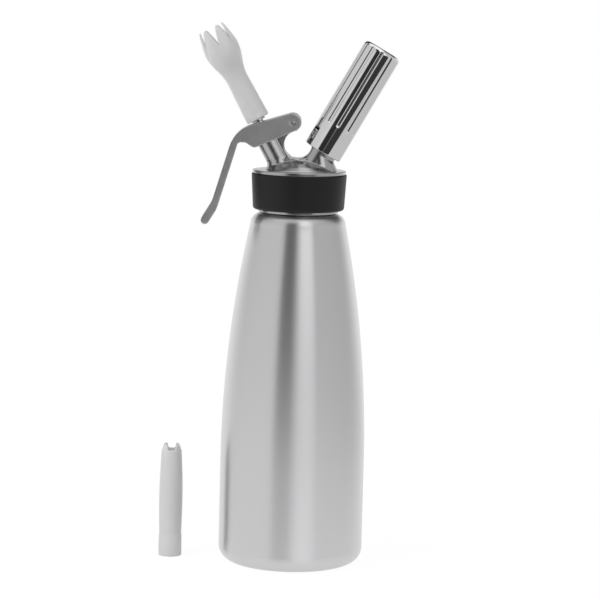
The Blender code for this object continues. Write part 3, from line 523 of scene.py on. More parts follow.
def taken(obj, *others):
    """The shape that a helper object's modifiers make. The helpers are removed."""
    bpy.context.view_layer.update()
    evaluated = obj.evaluated_get(bpy.context.evaluated_depsgraph_get())
    shape = bmesh.new()
    shape.from_mesh(evaluated.to_mesh())
    evaluated.to_mesh_clear()
    for used in (obj, *others):
        mesh = used.data
        bpy.data.objects.remove(used)
        bpy.data.meshes.remove(mesh)
    return shape


def combined(shape, other, operation):
    obj, tool = draft(shape), draft(other)
    boolean = obj.modifiers.new("combine", "BOOLEAN")
    boolean.solver = "EXACT"
    boolean.operation = operation
    boolean.object = tool
    return taken(obj, tool)


def joined(shape, *others):
    for other in others:
        shape = combined(shape, other, "UNION")
    return shape


def cut(shape, *tools):
    for tool in tools:
        shape = combined(shape, tool, "DIFFERENCE")
    return shape


def rebuilt(shape, grain, rounds):
    """Rebuild a shape on a fine grid and smooth it, which rounds its edges."""
    obj = draft(shape)
    grid = obj.modifiers.new("grid", "REMESH")
    grid.mode = "VOXEL"
    grid.voxel_size = grain
    smooth = obj.modifiers.new("smooth", "SMOOTH")
    smooth.factor = 0.5
    smooth.iterations = rounds
    return taken(obj)


def rounded_edges(shape, width, segments=2):
    """Round the edges where faces meet at a clear angle."""
    edges = [edge for edge in shape.edges if edge.is_manifold and edge.calc_face_angle() > SHARP]
    bmesh.ops.bevel(shape, geom=edges, offset=width, offset_type="OFFSET", segments=segments, profile=0.5,
                    affect="EDGES", clamp_overlap=True, material=-1)
    return shape


def turned_again(node, matrix, width, steps=TURN_STEPS):
    """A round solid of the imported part, turned finely from its own half section."""
    shape = bmesh.new()
    shape.from_mesh(frame["nodes"][node].data)
    bmesh.ops.remove_doubles(shape, verts=shape.verts, dist=TOUCH)
    bmesh.ops.transform(shape, matrix=matrix.inverted(), verts=shape.verts)
    for normal, only_plane in (((0, 1, 0), True), ((1, 0, 0), False)):
        bmesh.ops.bisect_plane(shape, geom=shape.verts[:] + shape.edges[:] + shape.faces[:], dist=TOUCH,
                               plane_co=(0, 0, 0), plane_no=normal, clear_outer=True, clear_inner=only_plane)
    bmesh.ops.spin(shape, geom=shape.verts[:] + shape.edges[:], axis=(0, 0, 1), angle=2 * math.pi,
                   steps=steps, use_merge=True)
    rounded_edges(tidy(shape), width)
    bmesh.ops.transform(shape, matrix=matrix, verts=shape.verts)
    return shape


def put(name, shape, nodes, finish):
    """Put a finished piece in the scene in place of its solids, riding on their body."""
    mesh = bpy.data.meshes.new(name)
    shape.to_mesh(mesh)
    shape.free()
    mesh.shade_smooth()
    mesh.set_sharp_from_angle(angle=SHARP)
    mesh.materials.append(finish_named(finish))
    obj = bpy.data.objects.new(name, mesh)
    bpy.context.scene.collection.objects.link(obj)
    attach(obj, frame["nodes"][nodes[0]]["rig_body"])
    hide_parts(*nodes)
    return obj


# Finishes


class Value:
    """A shader socket that Python arithmetic works on. Each operator adds one Math node."""

    def __init__(self, tree, socket):
        self.tree, self.socket = tree, socket

    def math(self, operation, *terms):
        return self.tree.node("ShaderNodeMath", {"operation": operation}, dict(enumerate(terms)))

    def __add__(self, other):
        return self.math("ADD", self, other)

    __radd__ = __add__

    def __sub__(self, other):
        return self.math("SUBTRACT", self, other)

    def __rsub__(self, other):
        return self.math("SUBTRACT", other, self)

    def __mul__(self, other):
        return self.math("MULTIPLY", self, other)

    __rmul__ = __mul__

    def __truediv__(self, other):
        return self.math("DIVIDE", self, other)

    def __rtruediv__(self, other):
        return self.math("DIVIDE", other, self)

    def __pow__(self, other):
        return self.math("POWER", self, other)

    def between(self, low, high):
        """Rises smoothly from 0 at low to 1 at high."""
        return self.tree.node("ShaderNodeMapRange", {"interpolation_type": "SMOOTHSTEP"},
                              {"Value": self, "From Min": low, "From Max": high})


class Tree:
    """The node tree of one finish, of the floor or of the world."""

    def __init__(self, owner):
        owner.use_nodes = True
        self.tree = owner.node_tree
        self.tree.nodes.clear()

    def node(self, kind, settings=None, sockets=None, output=0):
        """Add a node with its settings and the values or links of its sockets."""
        made = self.tree.nodes.new(kind)
        for name, value in (settings or {}).items():
            setattr(made, name, value)
        for name, value in (sockets or {}).items():
            socket = made.inputs[name]
            if isinstance(value, Value):
                self.tree.links.new(value.socket, socket)
            else:
                socket.default_value = value
        return Value(self, made.outputs[output]) if made.outputs else None

    def place(self, matrix=UPRIGHT):
        """Object coordinates, in the frame of the arm that carries the piece."""
        here = self.node("ShaderNodeTexCoord", output="Object")
        return self.node("ShaderNodeMapping", {"vector_type": "TEXTURE"},
                         {"Vector": here, "Location": matrix.translation, "Rotation": matrix.to_euler()})

    def stretched(self, vector, across, along):
        """Coordinates scaled by one number across the arm and another along it."""
        return self.node("ShaderNodeVectorMath", {"operation": "MULTIPLY"},
                         {0: vector, 1: (across, across, along)})

    def noise(self, vector, scale=1.0, detail=2.0, roughness=0.5):
        return self.node("ShaderNodeTexNoise", None,
                         {"Vector": vector, "Scale": scale, "Detail": detail, "Roughness": roughness})

    def mixed(self, factor, first, second):
        """A colour between two colours."""
        return self.node("ShaderNodeMix", {"data_type": "RGBA"}, {0: factor, 6: first, 7: second}, output=2)

    def bump(self, height, distance, strength=1.0):
        return self.node("ShaderNodeBump", None,
                         {"Height": height, "Distance": distance, "Strength": strength})

    def surface(self, **sockets):
        """End the tree in a Principled shader."""
        shader = self.node("ShaderNodeBsdfPrincipled", None,
                           {name.replace("_", " "): value for name, value in sockets.items()})
        self.node("ShaderNodeOutputMaterial", None, {"Surface": shader})


def shade(rgb, factor=1.0):
    """A colour made lighter or darker, with its alpha."""
    return (*(min(1.0, part * factor) for part in rgb), 1.0)


def new_finish(name):
    material = bpy.data.materials.new(name)
    return material, Tree(material)


def brushed_steel(settings):
    """The bottle: fine lines round its axis, which stretch the highlights upwards."""
    material, tree = new_finish("brushed_steel")
    here = tree.place()
    lines = tree.noise(tree.stretched(here, 9, 5200), detail=3, roughness=0.7)
    bands = tree.noise(tree.stretched(here, 14, 420), detail=2)
    tone = 0.8 * lines + 0.2 * bands
    tree.surface(Base_Color=tree.mixed(tone, shade(settings.bottle, 0.96), shade(settings.bottle, 1.03)),
                 Metallic=1.0, Roughness=settings.bottle_roughness - 0.04 + 0.08 * tone,
                 Anisotropic=settings.bottle_grain, Anisotropic_Rotation=0.25,
                 Normal=tree.bump(lines, 0.00001, 0.35))
    return material


def cast_steel(name, rgb, roughness, matrix):
    """A bead-blasted casting or pressing: an even fine grain."""
    material, tree = new_finish(name)
    here = tree.place(matrix)
    grain = tree.noise(here, scale=5200, detail=2)
    cloud = tree.noise(here, scale=160, detail=3)
    tree.surface(Base_Color=tree.mixed(cloud, shade(rgb, 0.93), shade(rgb, 1.06)), Metallic=1.0,
                 Roughness=roughness - 0.04 + 0.08 * cloud, Normal=tree.bump(grain, 0.00002, 0.3))
    return material


def polished_steel(name, rgb, matrix):
    """Mirror polish with the faintest haze."""
    material, tree = new_finish(name)
    here = tree.place(matrix)
    haze = tree.noise(here, scale=220, detail=4)
    wipes = tree.noise(tree.stretched(here, 160, 2400), detail=2)
    tree.surface(Base_Color=tree.mixed(haze, shade(rgb, 0.98), shade(rgb, 1.02)), Metallic=1.0,
                 Roughness=0.035 + 0.03 * haze + 0.015 * wipes, Normal=tree.bump(wipes, 0.000004, 0.1))
    return material


def machined_steel(name, rgb, matrix):
    """Turned steel with the tool's rings along and across it."""
    material, tree = new_finish(name)
    here = tree.place(matrix)
    rings = tree.noise(tree.stretched(here, 60, 9000), detail=2)
    tree.surface(Base_Color=tree.mixed(rings, shade(rgb, 0.92), shade(rgb, 1.06)), Metallic=1.0,
                 Roughness=0.18 + 0.12 * rings, Normal=tree.bump(rings, 0.000012, 0.3))
    return material


def rubber(name, rgb, roughness, sheen=0.5):
    """Moulded silicone: matt, with a fine skin."""
    material, tree = new_finish(name)
    here = tree.place()
    skin = tree.noise(here, scale=2600, detail=3)
    cloud = tree.noise(here, scale=90, detail=2)
    tree.surface(Base_Color=tree.mixed(cloud, shade(rgb, 0.8), shade(rgb, 1.2)),
                 Roughness=roughness - 0.05 + 0.1 * cloud, Specular_IOR_Level=sheen,
                 Normal=tree.bump(skin, 0.00003, 0.25))
    return material


def moulded_plastic(settings):
    """White tip plastic: satin, slightly cloudy."""
    material, tree = new_finish("moulded_plastic")
    here = tree.place()
    cloud = tree.noise(here, scale=70, detail=3)
    skin = tree.noise(here, scale=1800, detail=2)
    tree.surface(Base_Color=tree.mixed(cloud, shade(settings.plastic, 0.96), shade(settings.plastic, 1.03)),
                 Roughness=0.3 + 0.1 * cloud, Subsurface_Weight=0.6, Subsurface_Radius=(0.003, 0.003, 0.003),
                 Subsurface_Scale=1.0, Normal=tree.bump(skin, 0.00002, 0.15))
    return material


def finish_named(name):
    """A finish, made the first time that a piece asks for it."""
    return bpy.data.materials.get(name) or FINISHES[name](bpy.context.scene.dispenser_finish)


FINISHES = {
    "brushed_steel": brushed_steel,
    "head_cast_steel": lambda s: cast_steel("head_cast_steel", s.head, 0.25, UPRIGHT),
    "lever_pressed_steel": lambda s: cast_steel("lever_pressed_steel", s.lever, 0.38, UPRIGHT),
    "holder_polished_steel": lambda s: polished_steel("holder_polished_steel", s.polished, CHARGER),
    "bulb_plated_steel": lambda s: polished_steel("bulb_plated_steel", s.machined, CHARGER),
    "lid_turned_steel": lambda s: machined_steel("lid_turned_steel", s.head, UPRIGHT),
    "nozzle_turned_steel": lambda s: machined_steel("nozzle_turned_steel", s.machined, NOZZLE),
    "charger_turned_steel": lambda s: machined_steel("charger_turned_steel", s.machined, CHARGER),
    "grip_silicone": lambda s: rubber("grip_silicone", s.grip, 0.48, 0.3),
    "gasket_silicone": lambda s: rubber("gasket_silicone", s.gasket, 0.42),
    "seal_rubber": lambda s: rubber("seal_rubber", s.seal, 0.55),
    "moulded_plastic": moulded_plastic,
}


# Pieces


class BuildBottle(Operator):
    """Build the drawn steel bottle with its rolled rim and thread"""
    bl_idname = "dispenser.bottle"
    bl_label = "Bottle"
    taper_steps = 48
    shoulder_steps = 16

    def side(self, s, inset):
        """The side up to the neck, set in by a wall."""
        rise = s.shoulder - s.straight
        sweep = (rise ** 2 + s.inset ** 2) / (2 * s.inset)
        path = arc((s.radius - s.fillet, s.fillet), s.fillet - inset, -90, 0)
        path.append((s.radius - inset, s.fillet + s.wall))
        for i in range(self.taper_steps + 1):
            climb = rise * i / self.taper_steps
            path.append((s.radius - inset - sweep + math.sqrt(sweep ** 2 - climb ** 2), s.straight + climb))
        low = s.radius - s.inset - inset
        neck = s.collar_radius if not inset else s.neck_radius - inset
        for i in range(1, self.shoulder_steps + 1):
            turn = math.pi / 2 * i / self.shoulder_steps
            across, up = (low - neck) * math.cos(turn), (s.rise - inset) * math.sin(turn)
            path.append((neck + across, s.shoulder + up))
        return path

    def execute(self, context):
        s = context.scene.dispenser_bottle
        panel = s.foot_radius - s.foot_step
        inner = s.neck_radius - s.wall
        roll = s.wall / 2
        path = [(0, s.recess + s.wall), (panel, s.recess + s.wall), (s.foot_radius, s.wall)]
        path += self.side(s, s.wall)
        path += [(inner, s.collar_top)] + arc((inner + roll, s.rim - roll), roll, 180, 0)
        path += arc((s.neck_radius + roll, s.collar_top + roll), roll, 180, 270)
        path += self.side(s, 0)[::-1]
        path += [(s.foot_radius, 0), (panel, s.recess), (0, s.recess)]
        shape = lathe(path, steps=BOTTLE_STEPS)
        thread = ridge(s.neck_radius, s.ridge, s.pitch, s.turns, s.ridge_start, fade=s.ridge)
        put("bottle_body", with_shells(shape, thread), ["bottle_shell"], "brushed_steel")
        return {"FINISHED"}


class BuildHead(Operator):
    """Build the cap, the cast crown with its two arms, the grip and the gasket"""
    bl_idname = "dispenser.head"
    bl_label = "Head"

    def bores(self, s, lever):
        """The tools that cut the gap between the arms, the bores and the pin's hole."""
        over = 2 * s.ear
        low = s.boss_bottom - over
        valve = stepped((s.throat, low), (s.chamber, s.chamber_floor), (None, s.housing_top + over))
        gas = stepped((s.passage, s.passage), (s.shank_bore, s.shank_floor), (None, s.stub_top + over))
        return [turned(valve, NOZZLE, closed=False), turned(gas, CHARGER, closed=False),
                slab(circle((-s.gap_offset, s.lid + s.gap_height), s.gap_radius), s.web),
                slab(circle((lever.pin_offset, lever.pin_height), lever.pin_hole), s.web, NOZZLE)]

    def cap(self, s):
        """The turned cap: lid, lip, skirt and hem."""
        lip_bottom = s.lid - s.lip_thickness
        corners = [(0, s.lid, 0), (s.lip, s.lid, s.edge), (s.lip, lip_bottom, s.edge / 2),
                   (s.skirt, lip_bottom, 0), (s.skirt, s.hem_top, 0), (s.hem, s.hem_top, 0),
                   (s.hem, s.mouth, s.edge), (s.bore, s.mouth, s.edge), (s.bore, s.ceiling, 0),
                   (0, s.ceiling, 0)]
        boss = [(0, s.boss_top, 0), (s.boss, s.boss_top, 0), (s.boss, s.boss_bottom, s.edge),
                (0, s.boss_bottom, 0)]
        return joined(turned(corners, closed=False, steps=BOTTLE_STEPS), turned(boss, NOZZLE, closed=False))

    def crown(self, s):
        """The dome, the valve housing, the charger's stub, the saddle and the ear, as one casting."""
        sweep = (s.dome_radius ** 2 + s.dome_height ** 2) / (2 * s.dome_height)
        spread = 90 - math.degrees(math.asin(s.dome_radius / sweep))
        low = s.lid - 2 * s.join
        dome = [(0, s.lid + s.dome_height)] + arc((0, s.lid + s.dome_height - sweep), sweep, 90, spread)[1:]
        shape = lathe(dome + [(s.dome_radius, low), (0, low)])
        housing = stepped((s.housing, s.boss_top), (None, s.housing_top))
        stub = stepped((s.stub, s.boss_top), (None, s.stub_top))
        inset = TOUCH * 100
        feet = [hull([(NOZZLE @ Matrix.Translation((0, 0, s.housing_foot)), s.housing - inset),
                      (Matrix.Translation((-s.housing_reach, 0, low)), s.housing_spread)]),
                hull([(CHARGER @ Matrix.Translation((0, 0, s.stub_foot)), s.stub - inset),
                      (Matrix.Translation((s.stub_reach, 0, low)), s.stub_spread)])]
        high, half = s.lid + s.saddle_height, s.web / 2
        saddle = [(-s.saddle, low), (s.saddle, low), (s.saddle, high), (-s.saddle, high)]
        return joined(shape, turned(housing, NOZZLE, closed=False), turned(stub, CHARGER, closed=False),
                      *feet, slab(saddle, half), slab(self.ear(s), half - inset, NOZZLE))

    def ear(self, s):
        """The ear's side view in the nozzle arm's frame."""
        lever = bpy.context.scene.dispenser_lever
        pin, height = lever.pin_offset, lever.pin_height
        gap = NOZZLE.inverted() @ Vector((-s.gap_offset, 0, s.lid + s.gap_height))
        clear = s.edge / 2
        return [(s.ear_root, s.ear_foot), (s.ear_root, s.housing_top - clear),
                (s.boss + s.edge, s.housing_top - clear), (s.ear_step, height + s.ear),
                *arc((pin, height), s.ear, 90, -60), (gap.x, gap.z)]

    def execute(self, context):
        s, lever = context.scene.dispenser_head, context.scene.dispenser_lever
        bottle = context.scene.dispenser_bottle
        cap = cut(self.cap(s), *self.bores(s, lever)[:2])
        start = bottle.ridge_start - s.thread_drop
        thread = ridge(s.bore, bottle.ridge, bottle.pitch, bottle.turns, start, fade=-bottle.ridge)
        put("head_cap", with_shells(rounded_edges(cap, s.edge / 3), thread), ["head_casting"],
            "lid_turned_steel")
        crown = cut(self.crown(s), *self.bores(s, lever))
        made = bmesh.ops.bisect_plane(crown, geom=crown.verts[:] + crown.edges[:] + crown.faces[:],
                                      dist=TOUCH, plane_co=(0, 0, s.lid - s.join), plane_no=(0, 0, -1),
                                      clear_outer=True)
        rim = [found for found in made["geom_cut"] if isinstance(found, bmesh.types.BMEdge)]
        bmesh.ops.holes_fill(crown, edges=rim, sides=0)
        put("head_crown", rebuilt(crown, s.grain, 10), ["head_casting"], "head_cast_steel")

        rounding = s.band_top - s.band_low
        band = [(s.band_bore, s.band_high, 0), (s.band_top, s.band_high, rounding / 2),
                (s.band_low, s.band_bottom, 1.5 * rounding), (s.band_hem, s.band_bottom, 0),
                (s.band_hem, s.band_hem_top, 0), (s.band_bore, s.band_hem_top, 0)]
        put("grip_sleeve", turned(band, steps=BOTTLE_STEPS), ["grip_band"], "grip_silicone")
        put("gasket_ring", turned_again("head_gasket", UPRIGHT, s.edge / 2, BOTTLE_STEPS), ["head_gasket"],
            "gasket_silicone")
        return {"FINISHED"}


def toward(point, direction, distance):
    return (point[0] + direction[0] * distance, point[1] + direction[1] * distance)


def crossing(point_a, way_a, point_b, way_b):
    """Where two lines of a plane cross."""
    turn = way_a[0] * way_b[1] - way_a[1] * way_b[0]
    apart = (point_b[0] - point_a[0], point_b[1] - point_a[1])
    return toward(point_a, way_a, (apart[0] * way_b[1] - apart[1] * way_b[0]) / turn)


class BuildLever(Operator):
    """Build the pressed lever and the pin that it turns on"""
    bl_idname = "dispenser.lever"
    bl_label = "Lever"

    def shape(self, s):
        def ways(lean):
            """Along a leaning stretch, and from it towards the bottle."""
            return (-math.sin(lean), -math.cos(lean)), (math.cos(lean), -math.sin(lean))

        plate_way = (-math.cos(s.plate_slope), -math.sin(s.plate_slope))
        plate_out = (-math.sin(s.plate_slope), math.cos(s.plate_slope))
        (arm_way, arm_in), (paddle_way, paddle_in) = ways(s.arm_lean), ways(s.paddle_lean)
        cheek_way = (-math.cos(s.cheek_slope), -math.sin(s.cheek_slope))
        cheek_out = (math.sin(s.cheek_slope), -math.cos(s.cheek_slope))
        bend = toward(toward((0, 0), plate_out, s.pivot_end), plate_way, s.plate_length)
        knee = toward(bend, arm_way, s.arm_length)
        end_center = toward(toward(knee, paddle_way, s.paddle_length), paddle_in, s.paddle_end)
        end_start = 180 - math.degrees(s.paddle_lean)
        paddle_end = arc(end_center, s.paddle_end, end_start, end_start + 180)
        inner_knee = crossing(toward(knee, arm_in, s.arm_depth), arm_way, paddle_end[-1], paddle_way)
        crotch = crossing((0, -s.crotch_drop), (1, 0), inner_knee, arm_way)
        toe = crossing(toward((0, 0), cheek_out, s.pivot_end), cheek_way, (-s.toe_reach, 0), (0, 1))
        round_pin = arc((0, 0), s.pivot_end, math.degrees(s.cheek_slope) - 90,
                        90 + math.degrees(s.plate_slope))
        outline = [(*bend, s.plate_bend), (*knee, s.paddle_bend)] + [(*point, 0) for point in paddle_end]
        outline += [(*inner_knee, s.paddle_bend / 2), (*crotch, s.crotch),
                    (crotch[0] + s.crotch_width, -s.crotch_drop, s.crotch), (*toe, s.toe)]
        outline += [(*point, 0) for point in round_pin]

        roof = toward((0, 0), plate_out, s.pivot_end - s.sheet)
        inner_bend = crossing(roof, plate_way, toward(bend, arm_in, s.sheet), arm_way)
        web_knee = crossing(inner_bend, arm_way, toward(knee, paddle_in, s.sheet), paddle_way)
        cavity_end = toward(web_knee, paddle_way, s.paddle_length - s.sheet)
        clear = s.pivot_end + s.sheet
        hollow = [(*toward(roof, plate_way, -clear), 0), (*inner_bend, s.plate_bend - s.sheet),
                  (*web_knee, s.paddle_bend + s.sheet), (*cavity_end, 0),
                  (*toward(cavity_end, paddle_in, 2 * s.paddle_end), 0),
                  (*toward(inner_knee, arm_in, s.sheet), 0),
                  (toe[0], toe[1] - s.sheet, 0), (clear, -2 * clear, 0)]
        slot = arc((-s.slot_near - s.slot_half, 0), s.slot_half, -90, 90)
        slot += arc((-s.slot_far + s.slot_half, 0), s.slot_half, 90, 270)
        upward = Matrix.Rotation(-s.plate_slope, 4, "Y") @ Matrix.Rotation(math.pi / 2, 4, "X")
        return cut(slab(corner_path(outline), s.half, PIVOT), slab(corner_path(hollow), s.inner_half, PIVOT),
                   slab(circle((0, 0), s.pin_hole), 2 * s.half, PIVOT),
                   slab(slot, 2 * s.pivot_end, PIVOT @ upward))

    def execute(self, context):
        s = context.scene.dispenser_lever
        put("squeeze_lever", rebuilt(self.shape(s), s.grain, 6), ["lever"], "lever_pressed_steel")
        edge = s.pin / 3
        pin = [(0, s.pin_half, 0), (s.pin, s.pin_half, edge), (s.pin, -s.pin_half, edge), (0, -s.pin_half, 0)]
        across = PIVOT @ Matrix.Rotation(math.pi / 2, 4, "X")
        put("lever_pin", turned(pin, across, closed=False, steps=TURN_STEPS // 2), ["pivot_pin"],
            "nozzle_turned_steel")
        return {"FINISHED"}


class BuildValve(Operator):
    """Build the valve's stem, spring, seals, bushing and nut"""
    bl_idname = "dispenser.valve"
    bl_label = "Valve"

    def execute(self, context):
        s = context.scene.dispenser_valve
        port = slab(circle((0, s.port_height), s.port), 2 * s.stem, NOZZLE)
        stem = cut(turned_again("valve_stem", NOZZLE, s.edge), port)
        put("stem_tube", stem, ["valve_stem"], "nozzle_turned_steel")
        for name, node, steps, finish, slot in (
                ("bushing_ring", "valve_bushing", TURN_STEPS, "nozzle_turned_steel", "machined_steel"),
                ("seal_nut", "valve_seal_nut", 6, "nozzle_turned_steel", "machined_steel"),
                ("seat_disc", "valve_seal", TURN_STEPS, "seal_rubber", "seal_rubber"),
                ("gland_ring", "gland_seal", TURN_STEPS, "seal_rubber", "seal_rubber")):
            put(name, turned_again(node, NOZZLE, s.edge, steps), [node], finish)
        pitch = (s.spring_top - s.spring_bottom) / s.spring_turns
        coil = ridge(s.spring, s.wire, pitch, s.spring_turns, s.spring_bottom, NOZZLE)
        spring = put("return_spring", coil, ["valve_spring"], "nozzle_turned_steel")
        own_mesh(spring)
        return {"FINISHED"}


class BuildAdapter(Operator):
    """Build the threaded adapter and the metal sleeves in the tips"""
    bl_idname = "dispenser.adapter"
    bl_label = "Adapter and Inserts"

    def insert(self, s, bottom, matrix):
        low, high = bottom + s.insert_inset, bottom + s.insert_inset + s.insert_length
        edge = s.insert_inset
        sleeve = turned([(s.insert_bore, high, edge), (s.insert, high, edge), (s.insert, low, edge),
                         (s.insert_bore, low, edge)], matrix)
        start = bottom + s.ridge_start - bpy.context.scene.dispenser_tips.base - s.drop
        thread = ridge(s.insert_bore, s.ridge, s.pitch, s.turns, start, matrix, fade=-s.ridge)
        return with_shells(sleeve, thread)

    def execute(self, context):
        s, tips = context.scene.dispenser_nozzle, context.scene.dispenser_tips
        edge = s.insert_inset
        corners = [(s.outlet, s.top, edge), (s.nose, s.top, edge), (s.nose, s.shoulder, 0),
                   (s.root, s.shoulder, edge), (s.root, s.flange_top, 0), (s.flange, s.flange_top, edge),
                   (s.flange, s.base, edge), (s.socket, s.base, edge), (s.socket, s.socket_top, 0),
                   (s.outlet, s.socket_top, 0)]
        thread = ridge(s.root, s.ridge, s.pitch, s.turns, s.ridge_start, NOZZLE, fade=s.ridge)
        put("nozzle_collar", with_shells(turned(corners, NOZZLE), thread), ["nozzle_adapter"],
            "nozzle_turned_steel")
        stand = Matrix.Translation((tips.stand_x, tips.stand_y, 0))
        put("tulip_sleeve", self.insert(s, tips.base, NOZZLE), ["tulip_tip_insert"],
            "nozzle_turned_steel")
        put("straight_sleeve", self.insert(s, 0, stand), ["straight_tip_insert"],
            "nozzle_turned_steel")
        ring = circle((s.nose + edge + s.seal, s.shoulder + edge + s.seal), s.seal)
        put("tip_ring_seal", lathe(ring, NOZZLE, closed=True), ["tip_seal"], "seal_rubber")
        return {"FINISHED"}


TULIP_SHARES = ((0.00, 1.00), (0.16, 0.97), (0.30, 0.945), (0.42, 0.91), (0.48, 0.95), (0.55, 1.07),
                (0.64, 1.32), (0.73, 1.47), (0.80, 1.46), (0.87, 1.36), (0.94, 1.23), (1.00, 1.09))
STRAIGHT_SHARES = ((0.00, 1.00), (0.17, 0.99), (0.20, 0.95), (0.215, 0.945), (0.23, 0.96), (0.35, 0.99),
                   (0.52, 1.01), (0.70, 0.98), (0.84, 0.92), (0.93, 0.87), (0.97, 0.83), (1.00, 0.76))
PETAL_NOTCH_SHARES = ((0.00, 0.04), (0.25, 0.17), (0.63, 0.50), (0.92, 0.78), (1.00, 0.98), (1.10, 1.40))
TEETH_NOTCH_SHARES = ((0.00, 0.55), (0.10, 0.75), (0.40, 0.88), (0.80, 0.97), (1.00, 1.02), (1.10, 1.05))


class BuildTips(Operator):
    """Build the tulip tip with its petals and the straight tip with its teeth"""
    bl_idname = "dispenser.tips"
    bl_label = "Tips"

    def tube(self, s, bottom, tall, radius, wall, shares, matrix):
        """A tip before its cuts: its smooth outside, its bore, its ledge and its socket."""
        outside = smooth_through([(radius * across, bottom + tall * up) for up, across in shares], 6)
        socket = bottom + s.socket_top
        ledge = socket + s.ledge
        inside = [(across - wall, up) for across, up in outside if up > ledge]
        lower = [(s.bore, bottom), (s.bore, socket), (s.ledge_bore, socket), (s.ledge_bore, ledge)]
        return lathe(outside[::-1] + lower + inside, matrix, closed=True)

    def notch(self, bottom, tall, depth, width, shares, turn, matrix):
        """The tool for one pair of opposite cuts, right across a tip."""
        floor = bottom + tall - depth
        side = smooth_through([(width / 2 * across, floor + depth * up) for up, across in shares], 4)
        side.append((side[-1][0], floor + 2 * depth))
        outline = [(0, floor)] + side + [(-across, up) for across, up in side[::-1]]
        return slab(outline, 3 * width, matrix @ Matrix.Rotation(turn, 4, "Z"))

    def petal_dips(self, shape, s):
        """Draw the wall in below each cut, so that the petals stand out as ribs."""
        into_arm = NOZZLE.inverted()
        for vert in shape.verts:
            here = into_arm @ vert.co
            climb = (here.z - s.base - s.dip_start) / (s.dip_full - s.dip_start)
            if climb <= 0:
                continue
            climb = min(climb, 1.0)
            turn = math.atan2(here.y, here.x) - s.phase - math.pi / 2
            depth = s.dip * climb * climb * (3 - 2 * climb) * math.cos(s.petals * turn / 2) ** 4
            across = Vector((here.x, here.y, 0))
            here -= across.normalized() * min(depth, across.length)
            vert.co = NOZZLE @ here

    def execute(self, context):
        s = context.scene.dispenser_tips
        tulip = self.tube(s, s.base, s.tall, s.radius, s.wall, TULIP_SHARES, NOZZLE)
        for i in range(s.petals // 2):
            turn = s.phase + 2 * math.pi * i / s.petals
            tulip = cut(tulip, self.notch(s.base, s.tall, s.notch, s.notch_width, PETAL_NOTCH_SHARES,
                                          turn, NOZZLE))
        tulip = rebuilt(tulip, s.grain, 5)
        self.petal_dips(tulip, s)
        put("tulip_nozzle", tulip, ["tulip_tip"], "moulded_plastic")
        stand = Matrix.Translation((s.stand_x, s.stand_y, 0))
        slim = self.tube(s, 0, s.slim_tall, s.slim_radius, s.slim_wall, STRAIGHT_SHARES, stand)
        for turn in (s.teeth_phase, s.teeth_phase + math.pi / 2):
            slim = cut(slim, self.notch(0, s.slim_tall, s.teeth_depth, s.teeth_width, TEETH_NOTCH_SHARES,
                                        turn, stand))
        put("straight_nozzle", rebuilt(slim, s.grain, 4), ["straight_tip"], "moulded_plastic")
        return {"FINISHED"}


class BuildChargerArm(Operator):
    """Build the threaded nipple, the pin, the seals and the gas charger"""
    bl_idname = "dispenser.charger_arm"
    bl_label = "Charger Arm"
    full_rounding = 0.999

    def execute(self, context):
        s = context.scene.dispenser_charger
        edge = context.scene.dispenser_valve.edge
        corners = [(s.recess, s.top, edge), (s.root, s.top, 2 * edge), (s.root, s.shoulder, edge),
                   (s.shank, s.shoulder, 0), (s.shank, s.shank_bottom, edge), (s.bore, s.shank_bottom, edge),
                   (s.bore, s.recess_floor, 0), (s.recess, s.recess_floor, 0)]
        thread = ridge(s.root, s.ridge, s.pitch, s.turns, s.ridge_start, CHARGER, fade=s.ridge)
        put("charger_thread", with_shells(turned(corners, CHARGER), thread), ["charger_nipple"],
            "charger_turned_steel")
        for name, node, finish, slot in (
                ("pin_needle", "piercing_pin", "charger_turned_steel", "machined_steel"),
                ("charger_ring", "charger_seal", "seal_rubber", "seal_rubber"),
                ("gas_check", "check_valve", "seal_rubber", "seal_rubber")):
            put(name, turned_again(node, CHARGER, edge), [node], finish)
        end, neck_top = s.bulb_bottom + s.bulb_tall, s.bulb_bottom + s.bulb_neck_tall
        foot, inner = neck_top + s.bulb_shoulder, s.bulb - s.bulb_wall
        bend = s.bulb / 3
        full = self.full_rounding
        outer = [(0, end, 0), (s.bulb, end, s.bulb * full), (s.bulb, foot, bend),
                 (s.bulb_neck, neck_top, bend), (s.bulb_neck, s.bulb_bottom, 2 * edge),
                 (s.bulb_hole, s.bulb_bottom, edge), (s.bulb_hole, neck_top, 0), (inner, foot, bend),
                 (inner, end - s.bulb_wall, inner * full), (0, end - s.bulb_wall, 0)]
        put("gas_bulb", turned(outer, CHARGER, closed=False), ["gas_charger"], "bulb_plated_steel")
        return {"FINISHED"}


